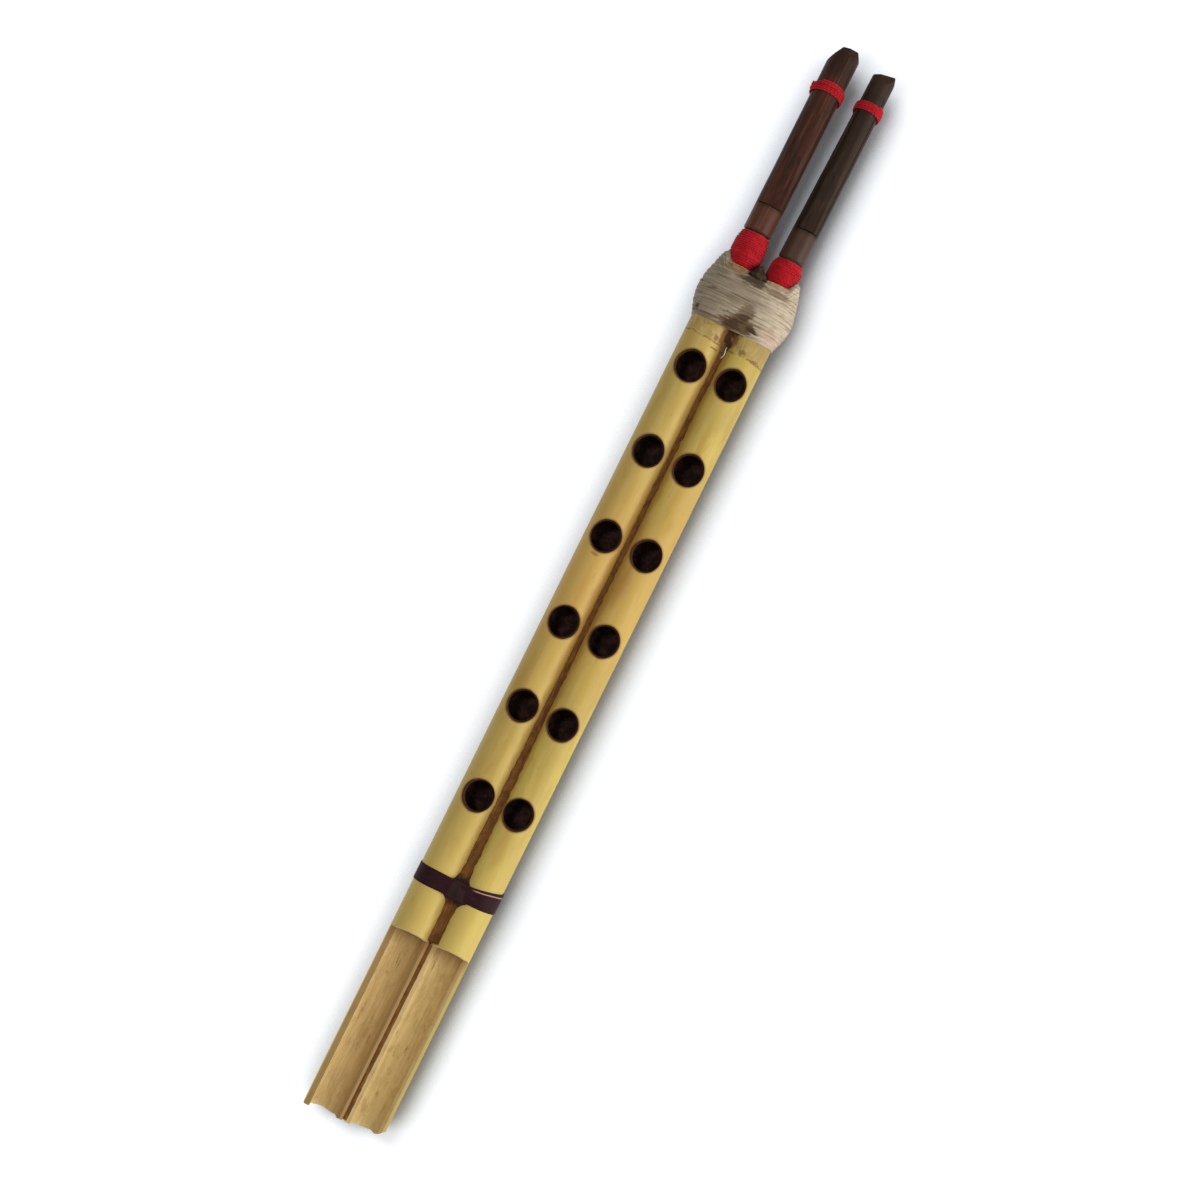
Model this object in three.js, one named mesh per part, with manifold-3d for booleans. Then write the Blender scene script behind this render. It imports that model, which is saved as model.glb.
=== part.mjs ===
import * as THREE from 'three';
import { mergeVertices } from 'three/addons/utils/BufferGeometryUtils.js';
import Module from 'manifold-3d';

// A double reed pipe of cane, lying on its back, in millimetres.
// X runs across the two pipes, Y from the open foot to the reeds, Z up
// through the finger holes.

const wasm = await Module();
wasm.setup();

// Cane pipes
const pipeLength = 240;
const pipeRadius = 5.5;
const boreRadius = 3.85;
const pipeGap = 0.3;
const socketRadius = 4.6;
const socketDepth = 8;

// Open scoop at the foot, where the front of both pipes is cut away
const scoopLength = 50.4;
const scoopHeight = 0.8;
const scoopRake = 1.3;

// Finger holes, six on each pipe, burnt through with a dished rim
const firstHolePlace = 90.1;
const holeRowLength = 121;
const holePlaceShares = [0, 0.209, 0.404, 0.603, 0.802, 1];
const holeRadius = 3.9;
const burntRim = 0.5;

// Clearance between touching pieces, and the overrun of every cutter
const seatGap = 0.3;
const overrun = 2;

// Resin run along the valleys between the pipes
const seamFootHalfWidth = 1.4;
const seamHeadHalfWidth = 0.76;
const seamBlobHalfWidth = 3;
const seamBlobReach = 4.6;
const seamFlareHalfWidth = 2.2;
const seamFlareReach = 6;
const backSeamHalfWidth = 0.9;
const seamPitch = 15;
const seamFinePitch = 1;
const seamMeniscusShare = 0.2;
const seamNarrowingShare = 0.7;
const seamBlobCoreShare = 0.8;

// Dark band round both pipes above the scoop
const bandPlace = 63.9;
const bandWidth = 4.3;
const bandGap = 0.15;
const bandThickness = 0.2;

// Waxed thread binding round the heads of both pipes
const bindingInset = 0.3;
const bindingLength = 15.7;
const bindingThread = 0.8;
const bindingTurns = 12;
const coreWall = 0.25;
const coreSwell = 0.6;

// Reed tubes, their tenons and their tongues
const tenonRadius = 3;
const tenonDepth = 10;
const reedBoreRadius = 2.15;
const reedShoulder = 0.5;
const reedNodeWall = 3;
const tongueSeat = 1.85;
const tongueSlit = 0.35;
const tongueTipThickness = 0.75;

// Red thread: packing on the tenons and bridles round the tongues
const packingThread = 0.8;
const packingPitch = 1.25;
const packingSink = 1;
const sleeveRadius = 3.7;
const bridleThread = 0.55;
const bridlePitch = 1;
const bridleTurns = 2;

// Each reed in its own frame, from the mouth of its pipe along its axis
const leftReed = {
  side: -1,
  footRadius: 3.55,
  headRadius: 3.55,
  length: 61.5,
  packingTurns: 7,
  packingTop: 8.9,
  slitPlace: 16.3,
  rootPlace: 53.5,
  bridlePlace: 50.4,
  offset: 0.4,
  lean: 0.2,
  facetLength: 3.2,
  facetRadius: 2.1,
  facetSides: 6,
  facetTurn: 12,
  tipSlope: 5.7,
};
const rightReed = {
  side: 1,
  footRadius: 3.4,
  headRadius: 3,
  length: 59.9,
  packingTurns: 5,
  packingTop: 6.3,
  slitPlace: 14.8,
  rootPlace: 53.5,
  bridlePlace: 50.9,
  offset: -0.2,
  lean: 0.94,
  facetLength: 2,
  facetRadius: 2.3,
  facetSides: 5,
  facetTurn: 40,
  tipSlope: 14.7,
};

// Wax on the mouths: a drop in the crotch between them, and a sloping shoulder outside each
const waxHalfWidth = 3.4;
const waxHeight = 2.4;
const waxHalfDepth = 3.4;
const shoulderFootRadius = 6.8;
const shoulderHeadRadius = 4.7;

// Facet counts
const pipeSides = 40;
const holeSides = 28;
const reedSides = 28;
const threadSides = 6;
const arcSteps = 8;
const flatSteps = 4;
const roundSteps = 20;
const seamSteps = 4;
const coreBands = 8;
const mergeDistance = 1e-4;

// Sizes that follow from those above
const halfSpacing = pipeRadius + pipeGap / 2;
const seatRadius = pipeRadius + seatGap;
const bandRadius = pipeRadius + bandGap;
const bindingPlace = pipeLength - bindingInset - bindingLength;
const bindingReach = seatRadius + coreWall + coreSwell + seatGap + bindingThread;
const overallLength = pipeLength + Math.max(leftReed.length, rightReed.length);
const loopSteps = 2 * (arcSteps + flatSteps);

// Closed geometry as a solid, and back

function closedIndex(geometry) {
  const bare = geometry.clone();
  bare.deleteAttribute('normal');
  bare.deleteAttribute('uv');
  const merged = mergeVertices(bare, mergeDistance);
  const kept = [];
  for (let i = 0; i < merged.index.count; i += 3) {
    const [a, b, c] = [0, 1, 2].map((corner) => merged.index.getX(i + corner));
    if (a !== b && b !== c && c !== a) kept.push(a, b, c);
  }
  merged.setIndex(kept);
  return merged;
}

function toSolid(geometry) {
  const closed = closedIndex(geometry);
  return new wasm.Manifold(new wasm.Mesh({
    numProp: 3,
    vertProperties: new Float32Array(closed.attributes.position.array),
    triVerts: new Uint32Array(closed.index.array),
  }));
}

function toGeometry(solid) {
  const mesh = solid.getMesh();
  const geometry = new THREE.BufferGeometry();
  geometry.setAttribute('position', new THREE.BufferAttribute(mesh.vertProperties, 3));
  geometry.setIndex(new THREE.BufferAttribute(mesh.triVerts, 1));
  return geometry;
}

// A revolved form about Y from its profile of [radius, place] pairs
function turned(profile, sides) {
  const points = profile.map(([radius, place]) => new THREE.Vector2(radius, place));
  return new THREE.LatheGeometry(points, sides);
}

function rod(radius, from, to, sides) {
  return turned([[0, from], [radius, from], [radius, to], [0, to]], sides);
}

function block(x, y, z) {
  const size = [x[1] - x[0], y[1] - y[0], z[1] - z[0]];
  const box = new THREE.BoxGeometry(...size);
  return box.translate((x[0] + x[1]) / 2, (y[0] + y[1]) / 2, (z[0] + z[1]) / 2);
}

// Rings of [x, y, z] points, each with the same count, joined and capped
function loft(sections) {
  const flat = (ring) => ring.map(([x, , z]) => new THREE.Vector2(x, z));
  const clockwise = THREE.ShapeUtils.isClockWise(flat(sections[0]));
  const rings = sections.map((ring) => (clockwise ? ring : [...ring].reverse()));
  const faces = tubeFaces(rings.length, rings[0].length);
  const last = (rings.length - 1) * rings[0].length;
  const outline = flat(rings[0]);
  for (const cap of THREE.ShapeUtils.triangulateShape(outline, [])) {
    const counter = THREE.ShapeUtils.area(cap.map((i) => outline[i])) > 0;
    const [a, b, c] = counter ? cap : [...cap].reverse();
    faces.push(a, b, c, last + c, last + b, last + a);
  }
  return indexed(rings, faces);
}

function tubeFaces(ringCount, count) {
  const faces = [];
  for (let ring = 0; ring + 1 < ringCount; ring += 1) {
    for (let i = 0; i < count; i += 1) {
      const [a, b] = [ring * count + i, ring * count + (i + 1) % count];
      faces.push(a, b, b + count, a, b + count, a + count);
    }
  }
  return faces;
}

function indexed(rings, faces) {
  const geometry = new THREE.BufferGeometry();
  geometry.setAttribute('position', new THREE.Float32BufferAttribute(rings.flat(2), 3));
  geometry.setIndex(faces);
  return geometry;
}

// Thread: one unbroken tube through points that carry their outward normals

function wind(path, diameter) {
  const rings = path.map(({ point, normal }, i) => {
    const before = path[Math.max(i - 1, 0)].point;
    const after = path[Math.min(i + 1, path.length - 1)].point;
    const along = after.clone().sub(before).normalize();
    const side = along.clone().cross(normal).normalize();
    const up = side.clone().cross(along);
    return Array.from({ length: threadSides }, (_, k) => {
      const angle = 2 * Math.PI * k / threadSides;
      const corner = point.clone();
      corner.addScaledVector(up, diameter / 2 * Math.cos(angle));
      corner.addScaledVector(side, diameter / 2 * Math.sin(angle));
      return corner.toArray();
    });
  });
  const faces = tubeFaces(rings.length, threadSides);
  const last = (rings.length - 1) * threadSides;
  for (let i = 1; i + 1 < threadSides; i += 1) {
    faces.push(0, i + 1, i, last, last + i, last + i + 1);
  }
  return indexed(rings, faces);
}

// The ends of a round winding leave their turn straight for one diameter
function withStraightEnds(path, diameter) {
  const end = (from, to) => {
    const away = from.point.clone().sub(to.point).setLength(diameter);
    return { point: from.point.clone().add(away), normal: from.normal };
  };
  return [end(path[0], path[1]), ...path, end(path.at(-1), path.at(-2))];
}

function reportGap(name, path, diameter, steps) {
  let least = Infinity;
  for (let i = 0; i < path.length; i += 1) {
    for (let j = i + Math.round(steps / 2); j < path.length; j += 1) {
      least = Math.min(least, path[i].point.distanceTo(path[j].point) - diameter);
    }
  }
  console.log(`${name}: least gap between turns ${least.toFixed(2)} mm`);
}

// A point on the rounded outline round both pipes, by step from the back
function roundBothPipes(step, radius) {
  const t = ((step % loopSteps) + loopSteps) % loopSteps;
  const half = flatSteps / 2;
  const arc = (from, centre) => {
    const angle = from + Math.PI * (t - (centre > 0 ? half : half + arcSteps + flatSteps)) / arcSteps;
    const normal = new THREE.Vector3(Math.cos(angle), 0, Math.sin(angle));
    return { x: centre + radius * normal.x, z: radius * normal.z, normal };
  };
  if (t < half) {
    return { x: halfSpacing * t / half, z: -radius, normal: new THREE.Vector3(0, 0, -1) };
  }
  if (t < half + arcSteps) return arc(-Math.PI / 2, halfSpacing);
  if (t < half + arcSteps + flatSteps) {
    const share = (t - half - arcSteps) / flatSteps;
    return { x: halfSpacing * (1 - 2 * share), z: radius, normal: new THREE.Vector3(0, 0, 1) };
  }
  if (t < loopSteps - half) return arc(Math.PI / 2, -halfSpacing);
  const share = (t - loopSteps) / half;
  return { x: halfSpacing * share, z: -radius, normal: new THREE.Vector3(0, 0, -1) };
}

function coreRadius(place) {
  const share = THREE.MathUtils.clamp((place - bindingPlace) / bindingLength, 0, 1);
  return seatRadius + coreWall + coreSwell * Math.sin(Math.PI * share);
}

// Pipes

function pipeSolid(side) {
  const tube = toSolid(turned([
    [boreRadius, 0],
    [pipeRadius, 0],
    [pipeRadius, pipeLength],
    [socketRadius, pipeLength],
    [socketRadius, pipeLength - socketDepth],
    [boreRadius, pipeLength - socketDepth],
    [boreRadius, 0],
  ], pipeSides));
  const reach = pipeRadius + overrun;
  const lean = scoopRake * (reach - scoopHeight) / (pipeRadius - scoopHeight);
  const scoopSection = (bottomPlace, topPlace) => [
    [-reach, bottomPlace, scoopHeight],
    [reach, bottomPlace, scoopHeight],
    [reach, topPlace, reach],
    [-reach, topPlace, reach],
  ];
  const scoop = toSolid(loft([
    scoopSection(-overrun, -overrun),
    scoopSection(scoopLength, scoopLength + lean),
  ]));
  let pipe = tube.subtract(scoop);
  for (const share of holePlaceShares) {
    pipe = pipe.subtract(holeCutter(firstHolePlace + share * holeRowLength));
  }
  return toGeometry(pipe.translate([side * halfSpacing, 0, 0]));
}

function holeCutter(place) {
  const drill = turned([
    [0, 0],
    [holeRadius, 0],
    [holeRadius, pipeRadius - burntRim],
    [holeRadius + burntRim + overrun, pipeRadius + overrun],
    [0, pipeRadius + overrun],
  ], holeSides);
  return toSolid(drill.rotateX(Math.PI / 2).translate(0, place, 0));
}

// Resin seams

function seamSection(place, halfWidth) {
  const floor = Math.sqrt(seatRadius ** 2 - halfSpacing ** 2);
  const top = Math.sqrt(seatRadius ** 2 - (halfSpacing - halfWidth) ** 2);
  const right = [];
  for (let i = 1; i <= seamSteps; i += 1) {
    const z = floor + (top - floor) * i / seamSteps;
    right.push([halfSpacing - Math.sqrt(seatRadius ** 2 - z ** 2), place, z]);
  }
  const left = right.map(([x, y, z]) => [-x, y, z]).reverse();
  const dip = [0, place, top - seamMeniscusShare * halfWidth];
  return [[0, place, floor], ...left.reverse(), dip, ...right.reverse()];
}

function frontHalfWidth(place) {
  const narrowing = seamNarrowingShare * (bindingPlace - scoopLength);
  const share = Math.min(1, (place - scoopLength) / narrowing);
  const plain = THREE.MathUtils.lerp(seamFootHalfWidth, seamHeadHalfWidth, share);
  const blob = Math.abs(place - bandPlace - bandWidth / 2) / seamBlobReach;
  const flare = (bindingPlace - place) / seamFlareReach;
  const blobShare = THREE.MathUtils.smoothstep(1 - blob, 0, seamBlobCoreShare);
  const flareShare = THREE.MathUtils.smoothstep(1 - flare, 0, 1);
  const atBand = THREE.MathUtils.lerp(plain, seamBlobHalfWidth, blobShare);
  return THREE.MathUtils.lerp(atBand, seamFlareHalfWidth, flareShare);
}

// Places along a seam, close together in the spans where its width changes
function seamPlaces(from, to, spans) {
  const places = [from];
  while (places.at(-1) < to) {
    const here = places.at(-1);
    const fine = spans.some(([start, end]) => here >= start && here < end);
    const stops = [to, ...spans.map(([start]) => start).filter((start) => start > here)];
    places.push(Math.min(here + (fine ? seamFinePitch : seamPitch), ...stops));
  }
  return places;
}

function frontSeam() {
  const bandCentre = bandPlace + bandWidth / 2;
  const end = bindingPlace - seatGap;
  const spans = [
    [bandCentre - seamBlobReach, bandCentre + seamBlobReach],
    [end - seamFlareReach, end],
  ];
  const places = seamPlaces(scoopLength + scoopRake + seatGap, end, spans);
  return loft(places.map((place) => seamSection(place, frontHalfWidth(place))));
}

function backSeam() {
  const places = seamPlaces(seatGap, bindingPlace - seatGap, []);
  const seam = loft(places.map((place) => seamSection(place, backSeamHalfWidth)));
  return seam.rotateY(Math.PI);
}

// Band

function stadium(radius, shape) {
  shape.absarc(halfSpacing, 0, radius, -Math.PI / 2, Math.PI / 2, false);
  shape.absarc(-halfSpacing, 0, radius, Math.PI / 2, 3 * Math.PI / 2, false);
  shape.closePath();
  return shape;
}

function footBand() {
  const outline = stadium(bandRadius + bandThickness, new THREE.Shape());
  outline.holes.push(stadium(bandRadius, new THREE.Path()));
  const band = new THREE.ExtrudeGeometry(outline, {
    depth: bandWidth,
    bevelEnabled: false,
    curveSegments: pipeSides / 2,
  });
  return band.rotateX(-Math.PI / 2).translate(0, bandPlace, 0);
}

// Binding

function bindingCore() {
  const from = bindingPlace + bindingThread / 2;
  const to = bindingPlace + bindingLength - bindingThread / 2;
  const rings = Array.from({ length: coreBands + 1 }, (_, i) => {
    const place = from + (to - from) * i / coreBands;
    return Array.from({ length: loopSteps }, (_, step) => {
      const { x, z } = roundBothPipes(step, coreRadius(place));
      return [x, place, z];
    });
  });
  let core = toSolid(loft(rings));
  for (const side of [-1, 1]) {
    const seat = rod(seatRadius, from - overrun, to + overrun, pipeSides);
    core = core.subtract(toSolid(seat.translate(side * halfSpacing, 0, 0)));
  }
  return toGeometry(core);
}

function bindingThreadForm() {
  const pitch = (bindingLength - bindingThread) / bindingTurns;
  const path = [];
  for (let step = 0; step <= bindingTurns * loopSteps; step += 1) {
    const place = bindingPlace + bindingThread / 2 + pitch * step / loopSteps;
    const radius = coreRadius(place) + seatGap + bindingThread / 2;
    const { x, z, normal } = roundBothPipes(step, radius);
    path.push({ point: new THREE.Vector3(x, place, z), normal });
  }
  reportGap('binding_thread', path, bindingThread, loopSteps);
  return wind(path, bindingThread);
}

// Reeds, each in its own frame with its axis on Y and the mouth at zero

function reedRadius(reed, place) {
  const share = (place - reed.packingTop) / (reed.length - reed.packingTop);
  return THREE.MathUtils.lerp(reed.footRadius, reed.headRadius, share);
}

function reedOutside(reed) {
  const neck = reed.packingTop + seatGap;
  return [
    [tenonRadius, -tenonDepth],
    [tenonRadius, neck],
    [reedRadius(reed, neck), neck + reedShoulder],
    [reedRadius(reed, reed.length), reed.length],
    [0, reed.length],
  ];
}

// A tapering prism that leaves flat knife cuts round the closed tip
function knifeTip(reed) {
  const ridge = 1 / Math.cos(Math.PI / reed.facetSides);
  const wide = 2 * reed.footRadius;
  const atStart = reedRadius(reed, reed.length - reed.facetLength);
  const slope = (atStart - reed.facetRadius) / reed.facetLength;
  const tip = turned([
    [0, -tenonDepth - overrun],
    [wide * ridge, -tenonDepth - overrun],
    [wide * ridge, reed.length - (wide - reed.facetRadius) / slope],
    [reed.facetRadius * ridge, reed.length],
    [0, reed.length],
  ], reed.facetSides);
  return toSolid(tip.rotateY(THREE.MathUtils.degToRad(reed.facetTurn)));
}

// What a slanting cut takes off the closed tip, whose high side faces +X
function tipOffcut(reed) {
  const half = 2 * reed.footRadius;
  const slope = THREE.MathUtils.degToRad(reed.tipSlope);
  const above = block([-2 * half, 2 * half], [0, half], [-half, half]);
  const centre = reed.length - reed.facetRadius * Math.tan(slope);
  return toSolid(above.rotateZ(slope).translate(0, centre, 0));
}

function reedTube(reed) {
  const ceiling = reed.length - reedNodeWall;
  const wall = turned([
    [0, ceiling],
    [reedBoreRadius, ceiling - reedBoreRadius / 2],
    [reedBoreRadius, -tenonDepth],
    ...reedOutside(reed),
  ], reedSides);
  const slot = block(
    [-2 * reed.footRadius, 2 * reed.footRadius],
    [reed.slitPlace, reed.rootPlace],
    [tongueSeat, 2 * reed.footRadius],
  );
  const open = toSolid(wall).subtract(toSolid(slot));
  return toGeometry(open.intersect(knifeTip(reed)).subtract(tipOffcut(reed)));
}

// The tongue is the slice of cane over the slot, shaved thin towards its tip
function reedTongue(reed) {
  const under = tongueSeat + seatGap;
  const from = reed.slitPlace + tongueSlit;
  const to = reed.rootPlace - seatGap;
  const section = (place, top) => [
    [-reed.footRadius, place, under],
    [reed.footRadius, place, under],
    [reed.footRadius, place, top],
    [-reed.footRadius, place, top],
  ];
  const slice = loft([
    section(from, under + tongueTipThickness),
    section(to, reedRadius(reed, to)),
  ]);
  const cane = turned([[0, -tenonDepth], ...reedOutside(reed)], reedSides);
  return toGeometry(toSolid(cane).intersect(toSolid(slice)));
}

function roundPath(radius, from, pitch, turns) {
  return Array.from({ length: turns * roundSteps + 1 }, (_, step) => {
    const angle = 2 * Math.PI * step / roundSteps - Math.PI / 2;
    const normal = new THREE.Vector3(Math.cos(angle), 0, Math.sin(angle));
    const point = normal.clone().multiplyScalar(radius);
    point.y = from + pitch * step / roundSteps;
    return { point, normal };
  });
}

function packingForm(name, reed) {
  const radius = tenonRadius + seatGap + packingThread / 2;
  const path = roundPath(radius, -packingSink, packingPitch, reed.packingTurns);
  reportGap(`${name}_packing_thread`, path, packingThread, roundSteps);
  return wind(withStraightEnds(path, packingThread), packingThread);
}

function packingSleeve() {
  const inner = tenonRadius + seatGap;
  const bottom = seatGap - socketDepth;
  const top = -packingSink - packingThread / 2 - seatGap;
  return turned([
    [inner, bottom],
    [sleeveRadius, bottom],
    [sleeveRadius, top],
    [inner, top],
    [inner, bottom],
  ], reedSides);
}

function bridleForm(name, reed) {
  const radius = reedRadius(reed, reed.bridlePlace) + seatGap + bridleThread / 2;
  const from = reed.bridlePlace - bridlePitch * bridleTurns / 2;
  const path = roundPath(radius, from, bridlePitch, bridleTurns);
  reportGap(`${name}_bridle_thread`, path, bridleThread, roundSteps);
  return wind(withStraightEnds(path, bridleThread), bridleThread);
}

// A reed stands in the mouth of its pipe, a little off centre and leaning out
function reedFrame(reed) {
  const frame = new THREE.Group();
  frame.position.set(reed.side * halfSpacing + reed.offset, pipeLength, 0);
  frame.rotation.z = THREE.MathUtils.degToRad(-reed.lean);
  frame.updateMatrixWorld(true);
  return frame;
}

// Wax on the pipes' end faces, kept clear of the packings

function clearOfPackings(wax) {
  const radius = tenonRadius + packingThread + 2 * seatGap;
  let clear = wax;
  for (const reed of [leftReed, rightReed]) {
    const room = rod(radius, -packingSink, waxHeight + 2 * overrun, reedSides);
    clear = clear.subtract(toSolid(room.applyMatrix4(reedFrame(reed).matrix)));
  }
  return clear;
}

function crotchWax() {
  const middle = (leftReed.offset + rightReed.offset) / 2;
  const base = pipeLength + seatGap;
  const drop = new THREE.SphereGeometry(1, reedSides, reedSides / 2);
  drop.scale(waxHalfWidth, waxHeight, waxHalfDepth).translate(middle, base, 0);
  const above = block(
    [-pipeRadius, pipeRadius],
    [base, base + waxHeight + overrun],
    [-pipeRadius, pipeRadius],
  );
  return toGeometry(clearOfPackings(toSolid(drop).intersect(toSolid(above))));
}

function shoulderWax(side) {
  const base = pipeLength + seatGap;
  const cone = turned([
    [0, base],
    [shoulderFootRadius, base],
    [shoulderHeadRadius, base + waxHeight],
    [0, base + waxHeight],
  ], reedSides);
  const reach = shoulderFootRadius + overrun;
  const outside = block(
    side > 0 ? [0, reach] : [-reach, 0],
    [base - overrun, base + waxHeight + overrun],
    [-waxHalfDepth, waxHalfDepth],
  );
  const wax = toSolid(cone).intersect(toSolid(outside));
  return toGeometry(clearOfPackings(wax.translate([side * halfSpacing, 0, 0])));
}

// Finishes

function finish(color, roughness) {
  return new THREE.MeshStandardMaterial({ color, roughness, metalness: 0 });
}

const cane = finish('#cdb968', 0.4);
const leftReedCane = finish('#5a3426', 0.45);
const rightReedCane = finish('#3c2a22', 0.45);
const resin = finish('#5c3216', 0.35);
const band = finish('#32141e', 0.3);
const waxedThread = finish('#a59682', 0.8);
const darkWax = finish('#4a3420', 0.5);
const redThread = finish('#c0162a', 0.85);

// Assembly

const flute = new THREE.Group();
flute.position.set(0, -overallLength / 2, bindingReach);

function add(parent, name, geometry, material) {
  const mesh = new THREE.Mesh(closedIndex(geometry), material);
  mesh.geometry.computeVertexNormals();
  mesh.name = name;
  parent.add(mesh);
}

add(flute, 'left_pipe', pipeSolid(-1), cane);
add(flute, 'right_pipe', pipeSolid(1), cane);
add(flute, 'front_seam', frontSeam(), resin);
add(flute, 'back_seam', backSeam(), resin);
add(flute, 'foot_band', footBand(), band);
add(flute, 'binding_core', bindingCore(), darkWax);
add(flute, 'binding_thread', bindingThreadForm(), waxedThread);
add(flute, 'crotch_wax', crotchWax(), darkWax);
add(flute, 'left_shoulder_wax', shoulderWax(-1), darkWax);
add(flute, 'right_shoulder_wax', shoulderWax(1), darkWax);

for (const [name, reed, reedCane] of [
  ['left', leftReed, leftReedCane],
  ['right', rightReed, rightReedCane],
]) {
  const frame = reedFrame(reed);
  add(frame, `${name}_reed_tube`, reedTube(reed), reedCane);
  add(frame, `${name}_reed_tongue`, reedTongue(reed), reedCane);
  add(frame, `${name}_packing_sleeve`, packingSleeve(), darkWax);
  add(frame, `${name}_packing_thread`, packingForm(name, reed), redThread);
  add(frame, `${name}_bridle_thread`, bridleForm(name, reed), redThread);
  flute.add(frame);
}

const group = new THREE.Group();
group.add(flute);

export default group;
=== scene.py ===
# %% [markdown]
# A double reed pipe, dressed for a photograph. Two cane pipes lie side by side
# on their backs, glued by brown resin and bound with waxed thread, and each is
# blown through a small cane reed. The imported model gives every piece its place,
# so the first step loads it, and everything after it is fitted to that frame.

# %% Load the frame
import math

import bmesh
import bpy
from mathutils import Matrix, Vector, noise


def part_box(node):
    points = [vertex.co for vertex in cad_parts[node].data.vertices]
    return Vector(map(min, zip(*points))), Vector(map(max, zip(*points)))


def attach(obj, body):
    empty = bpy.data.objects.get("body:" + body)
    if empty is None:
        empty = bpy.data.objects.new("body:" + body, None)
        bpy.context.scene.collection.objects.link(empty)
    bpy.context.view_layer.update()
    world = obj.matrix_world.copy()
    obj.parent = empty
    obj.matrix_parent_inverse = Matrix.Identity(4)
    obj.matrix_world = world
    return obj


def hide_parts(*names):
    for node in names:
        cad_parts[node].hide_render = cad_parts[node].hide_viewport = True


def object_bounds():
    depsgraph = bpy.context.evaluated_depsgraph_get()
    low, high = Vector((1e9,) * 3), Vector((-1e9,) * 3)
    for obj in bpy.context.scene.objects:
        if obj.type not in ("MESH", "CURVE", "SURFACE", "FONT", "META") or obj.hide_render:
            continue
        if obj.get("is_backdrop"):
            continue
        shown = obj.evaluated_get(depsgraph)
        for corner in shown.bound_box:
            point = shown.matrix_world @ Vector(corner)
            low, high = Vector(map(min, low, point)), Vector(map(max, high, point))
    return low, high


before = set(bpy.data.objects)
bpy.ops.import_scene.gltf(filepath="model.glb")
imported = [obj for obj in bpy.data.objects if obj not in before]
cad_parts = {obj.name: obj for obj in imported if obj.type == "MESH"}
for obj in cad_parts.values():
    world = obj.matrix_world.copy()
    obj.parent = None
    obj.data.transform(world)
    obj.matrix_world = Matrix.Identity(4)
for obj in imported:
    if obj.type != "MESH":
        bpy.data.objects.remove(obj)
cad_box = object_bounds()
print("nodes in the frame:", len(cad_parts))

# %% [markdown]
# The pipes set the scale of everything else. Their radius, axis height and ends
# are read from the frame. The other sizes are real ones, measured as a maker
# would: along the pipes from the open foot, and along a reed from the mouth.
# Blender counts in metres, so two small helpers take millimetres.

# %% Sizes
MM = 0.001

left_low, left_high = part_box("left_pipe")
right_low, right_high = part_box("right_pipe")
PIPE_R = (left_high.x - left_low.x) / 2
PIPE_X = {"left": (left_low.x + left_high.x) / 2, "right": (right_low.x + right_high.x) / 2}
HALF_SPACING = (PIPE_X["right"] - PIPE_X["left"]) / 2
AXIS_Z = left_low.z + PIPE_R
FOOT_Y = left_low.y
MOUTH_Y = left_high.y
SIDES = {"left": -1, "right": 1}
PIPES = "pipes"

BORE_R = 3.85 * MM
SCOOP_LENGTH = 50.4 * MM
SCOOP_RAKE = 1.3 * MM
SCOOP_HEIGHT = 0.8 * MM
HOLE_R = 3.9 * MM
HOLE_STRETCH = 1.08
HOLE_PLACES = [FOOT_Y + (90.1 + 121 * share) * MM for share in (0, 0.209, 0.404, 0.603, 0.802, 1)]
BAND_LOW = FOOT_Y + 64.0 * MM
BAND_HIGH = FOOT_Y + 68.6 * MM
BAND_CENTRE = (BAND_LOW + BAND_HIGH) / 2
BAND_HALF = (BAND_HIGH - BAND_LOW) / 2


def mm(*sizes):
    return tuple(size * MM for size in sizes)


def on_pipes(x, y, z):
    """A place across the pipes, along them from the foot, and up from their axes."""
    return (x * MM, FOOT_Y + y * MM, AXIS_Z + z * MM)


print(f"pipes {2 * PIPE_R / MM:.1f} mm across, {(MOUTH_Y - FOOT_Y) / MM:.0f} mm long")

# %% [markdown]
# The camera comes next. The pipes keep their width from foot to head in the
# photograph, so the camera looks straight down on them. It is turned so that
# they lean to the right, and its distance follows from how the scoop's floor
# shifts against its rim.

# %% Camera
LEAN = math.radians(26.28)
CAMERA_DISTANCE = 593 * MM
CAMERA_AIM = mm(0.10, -2.78)
FRAME_WIDTH = 305.4 * MM
SENSOR = 36.0


def placed(name, data):
    """A new object that holds some data, linked to the scene."""
    thing = bpy.data.objects.new(name, data)
    bpy.context.scene.collection.objects.link(thing)
    return thing


camera_data = bpy.data.cameras.new("camera")
camera_data.sensor_width = SENSOR
camera_data.lens = SENSOR * CAMERA_DISTANCE / FRAME_WIDTH
camera_data.clip_start = 0.01
camera = placed("camera", camera_data)
camera.location = (*CAMERA_AIM, AXIS_Z + CAMERA_DISTANCE)
camera.rotation_euler = (0, 0, LEAN)
bpy.context.scene.camera = camera
bpy.context.scene.view_settings.view_transform = "Standard"
print(f"lens {camera_data.lens:.1f} mm at {CAMERA_DISTANCE / MM:.0f} mm")

# %% [markdown]
# A shader can be drawn by hand in the node editor. In a script it is easier to
# read when each node is one short line. The first helper adds a node, sets its
# options, and gives each input a value or a wire. The others do arithmetic. They
# find the tree to work in from the wires that they are given.

# %% Node helpers
def is_wire(value):
    return isinstance(value, bpy.types.NodeSocket)


def add(tree, kind, inputs=None, **options):
    node = tree.nodes.new(kind)
    for name, value in options.items():
        setattr(node, name, value)
    for name, value in (inputs or {}).items():
        if is_wire(value):
            tree.links.new(value, node.inputs[name])
        else:
            node.inputs[name].default_value = value
    return node


def tree_of(*values):
    return next(value.id_data for value in values if is_wire(value))


def calc(operation, *values):
    inputs = dict(enumerate(values))
    return add(tree_of(*values), "ShaderNodeMath", inputs, operation=operation).outputs[0]


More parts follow.
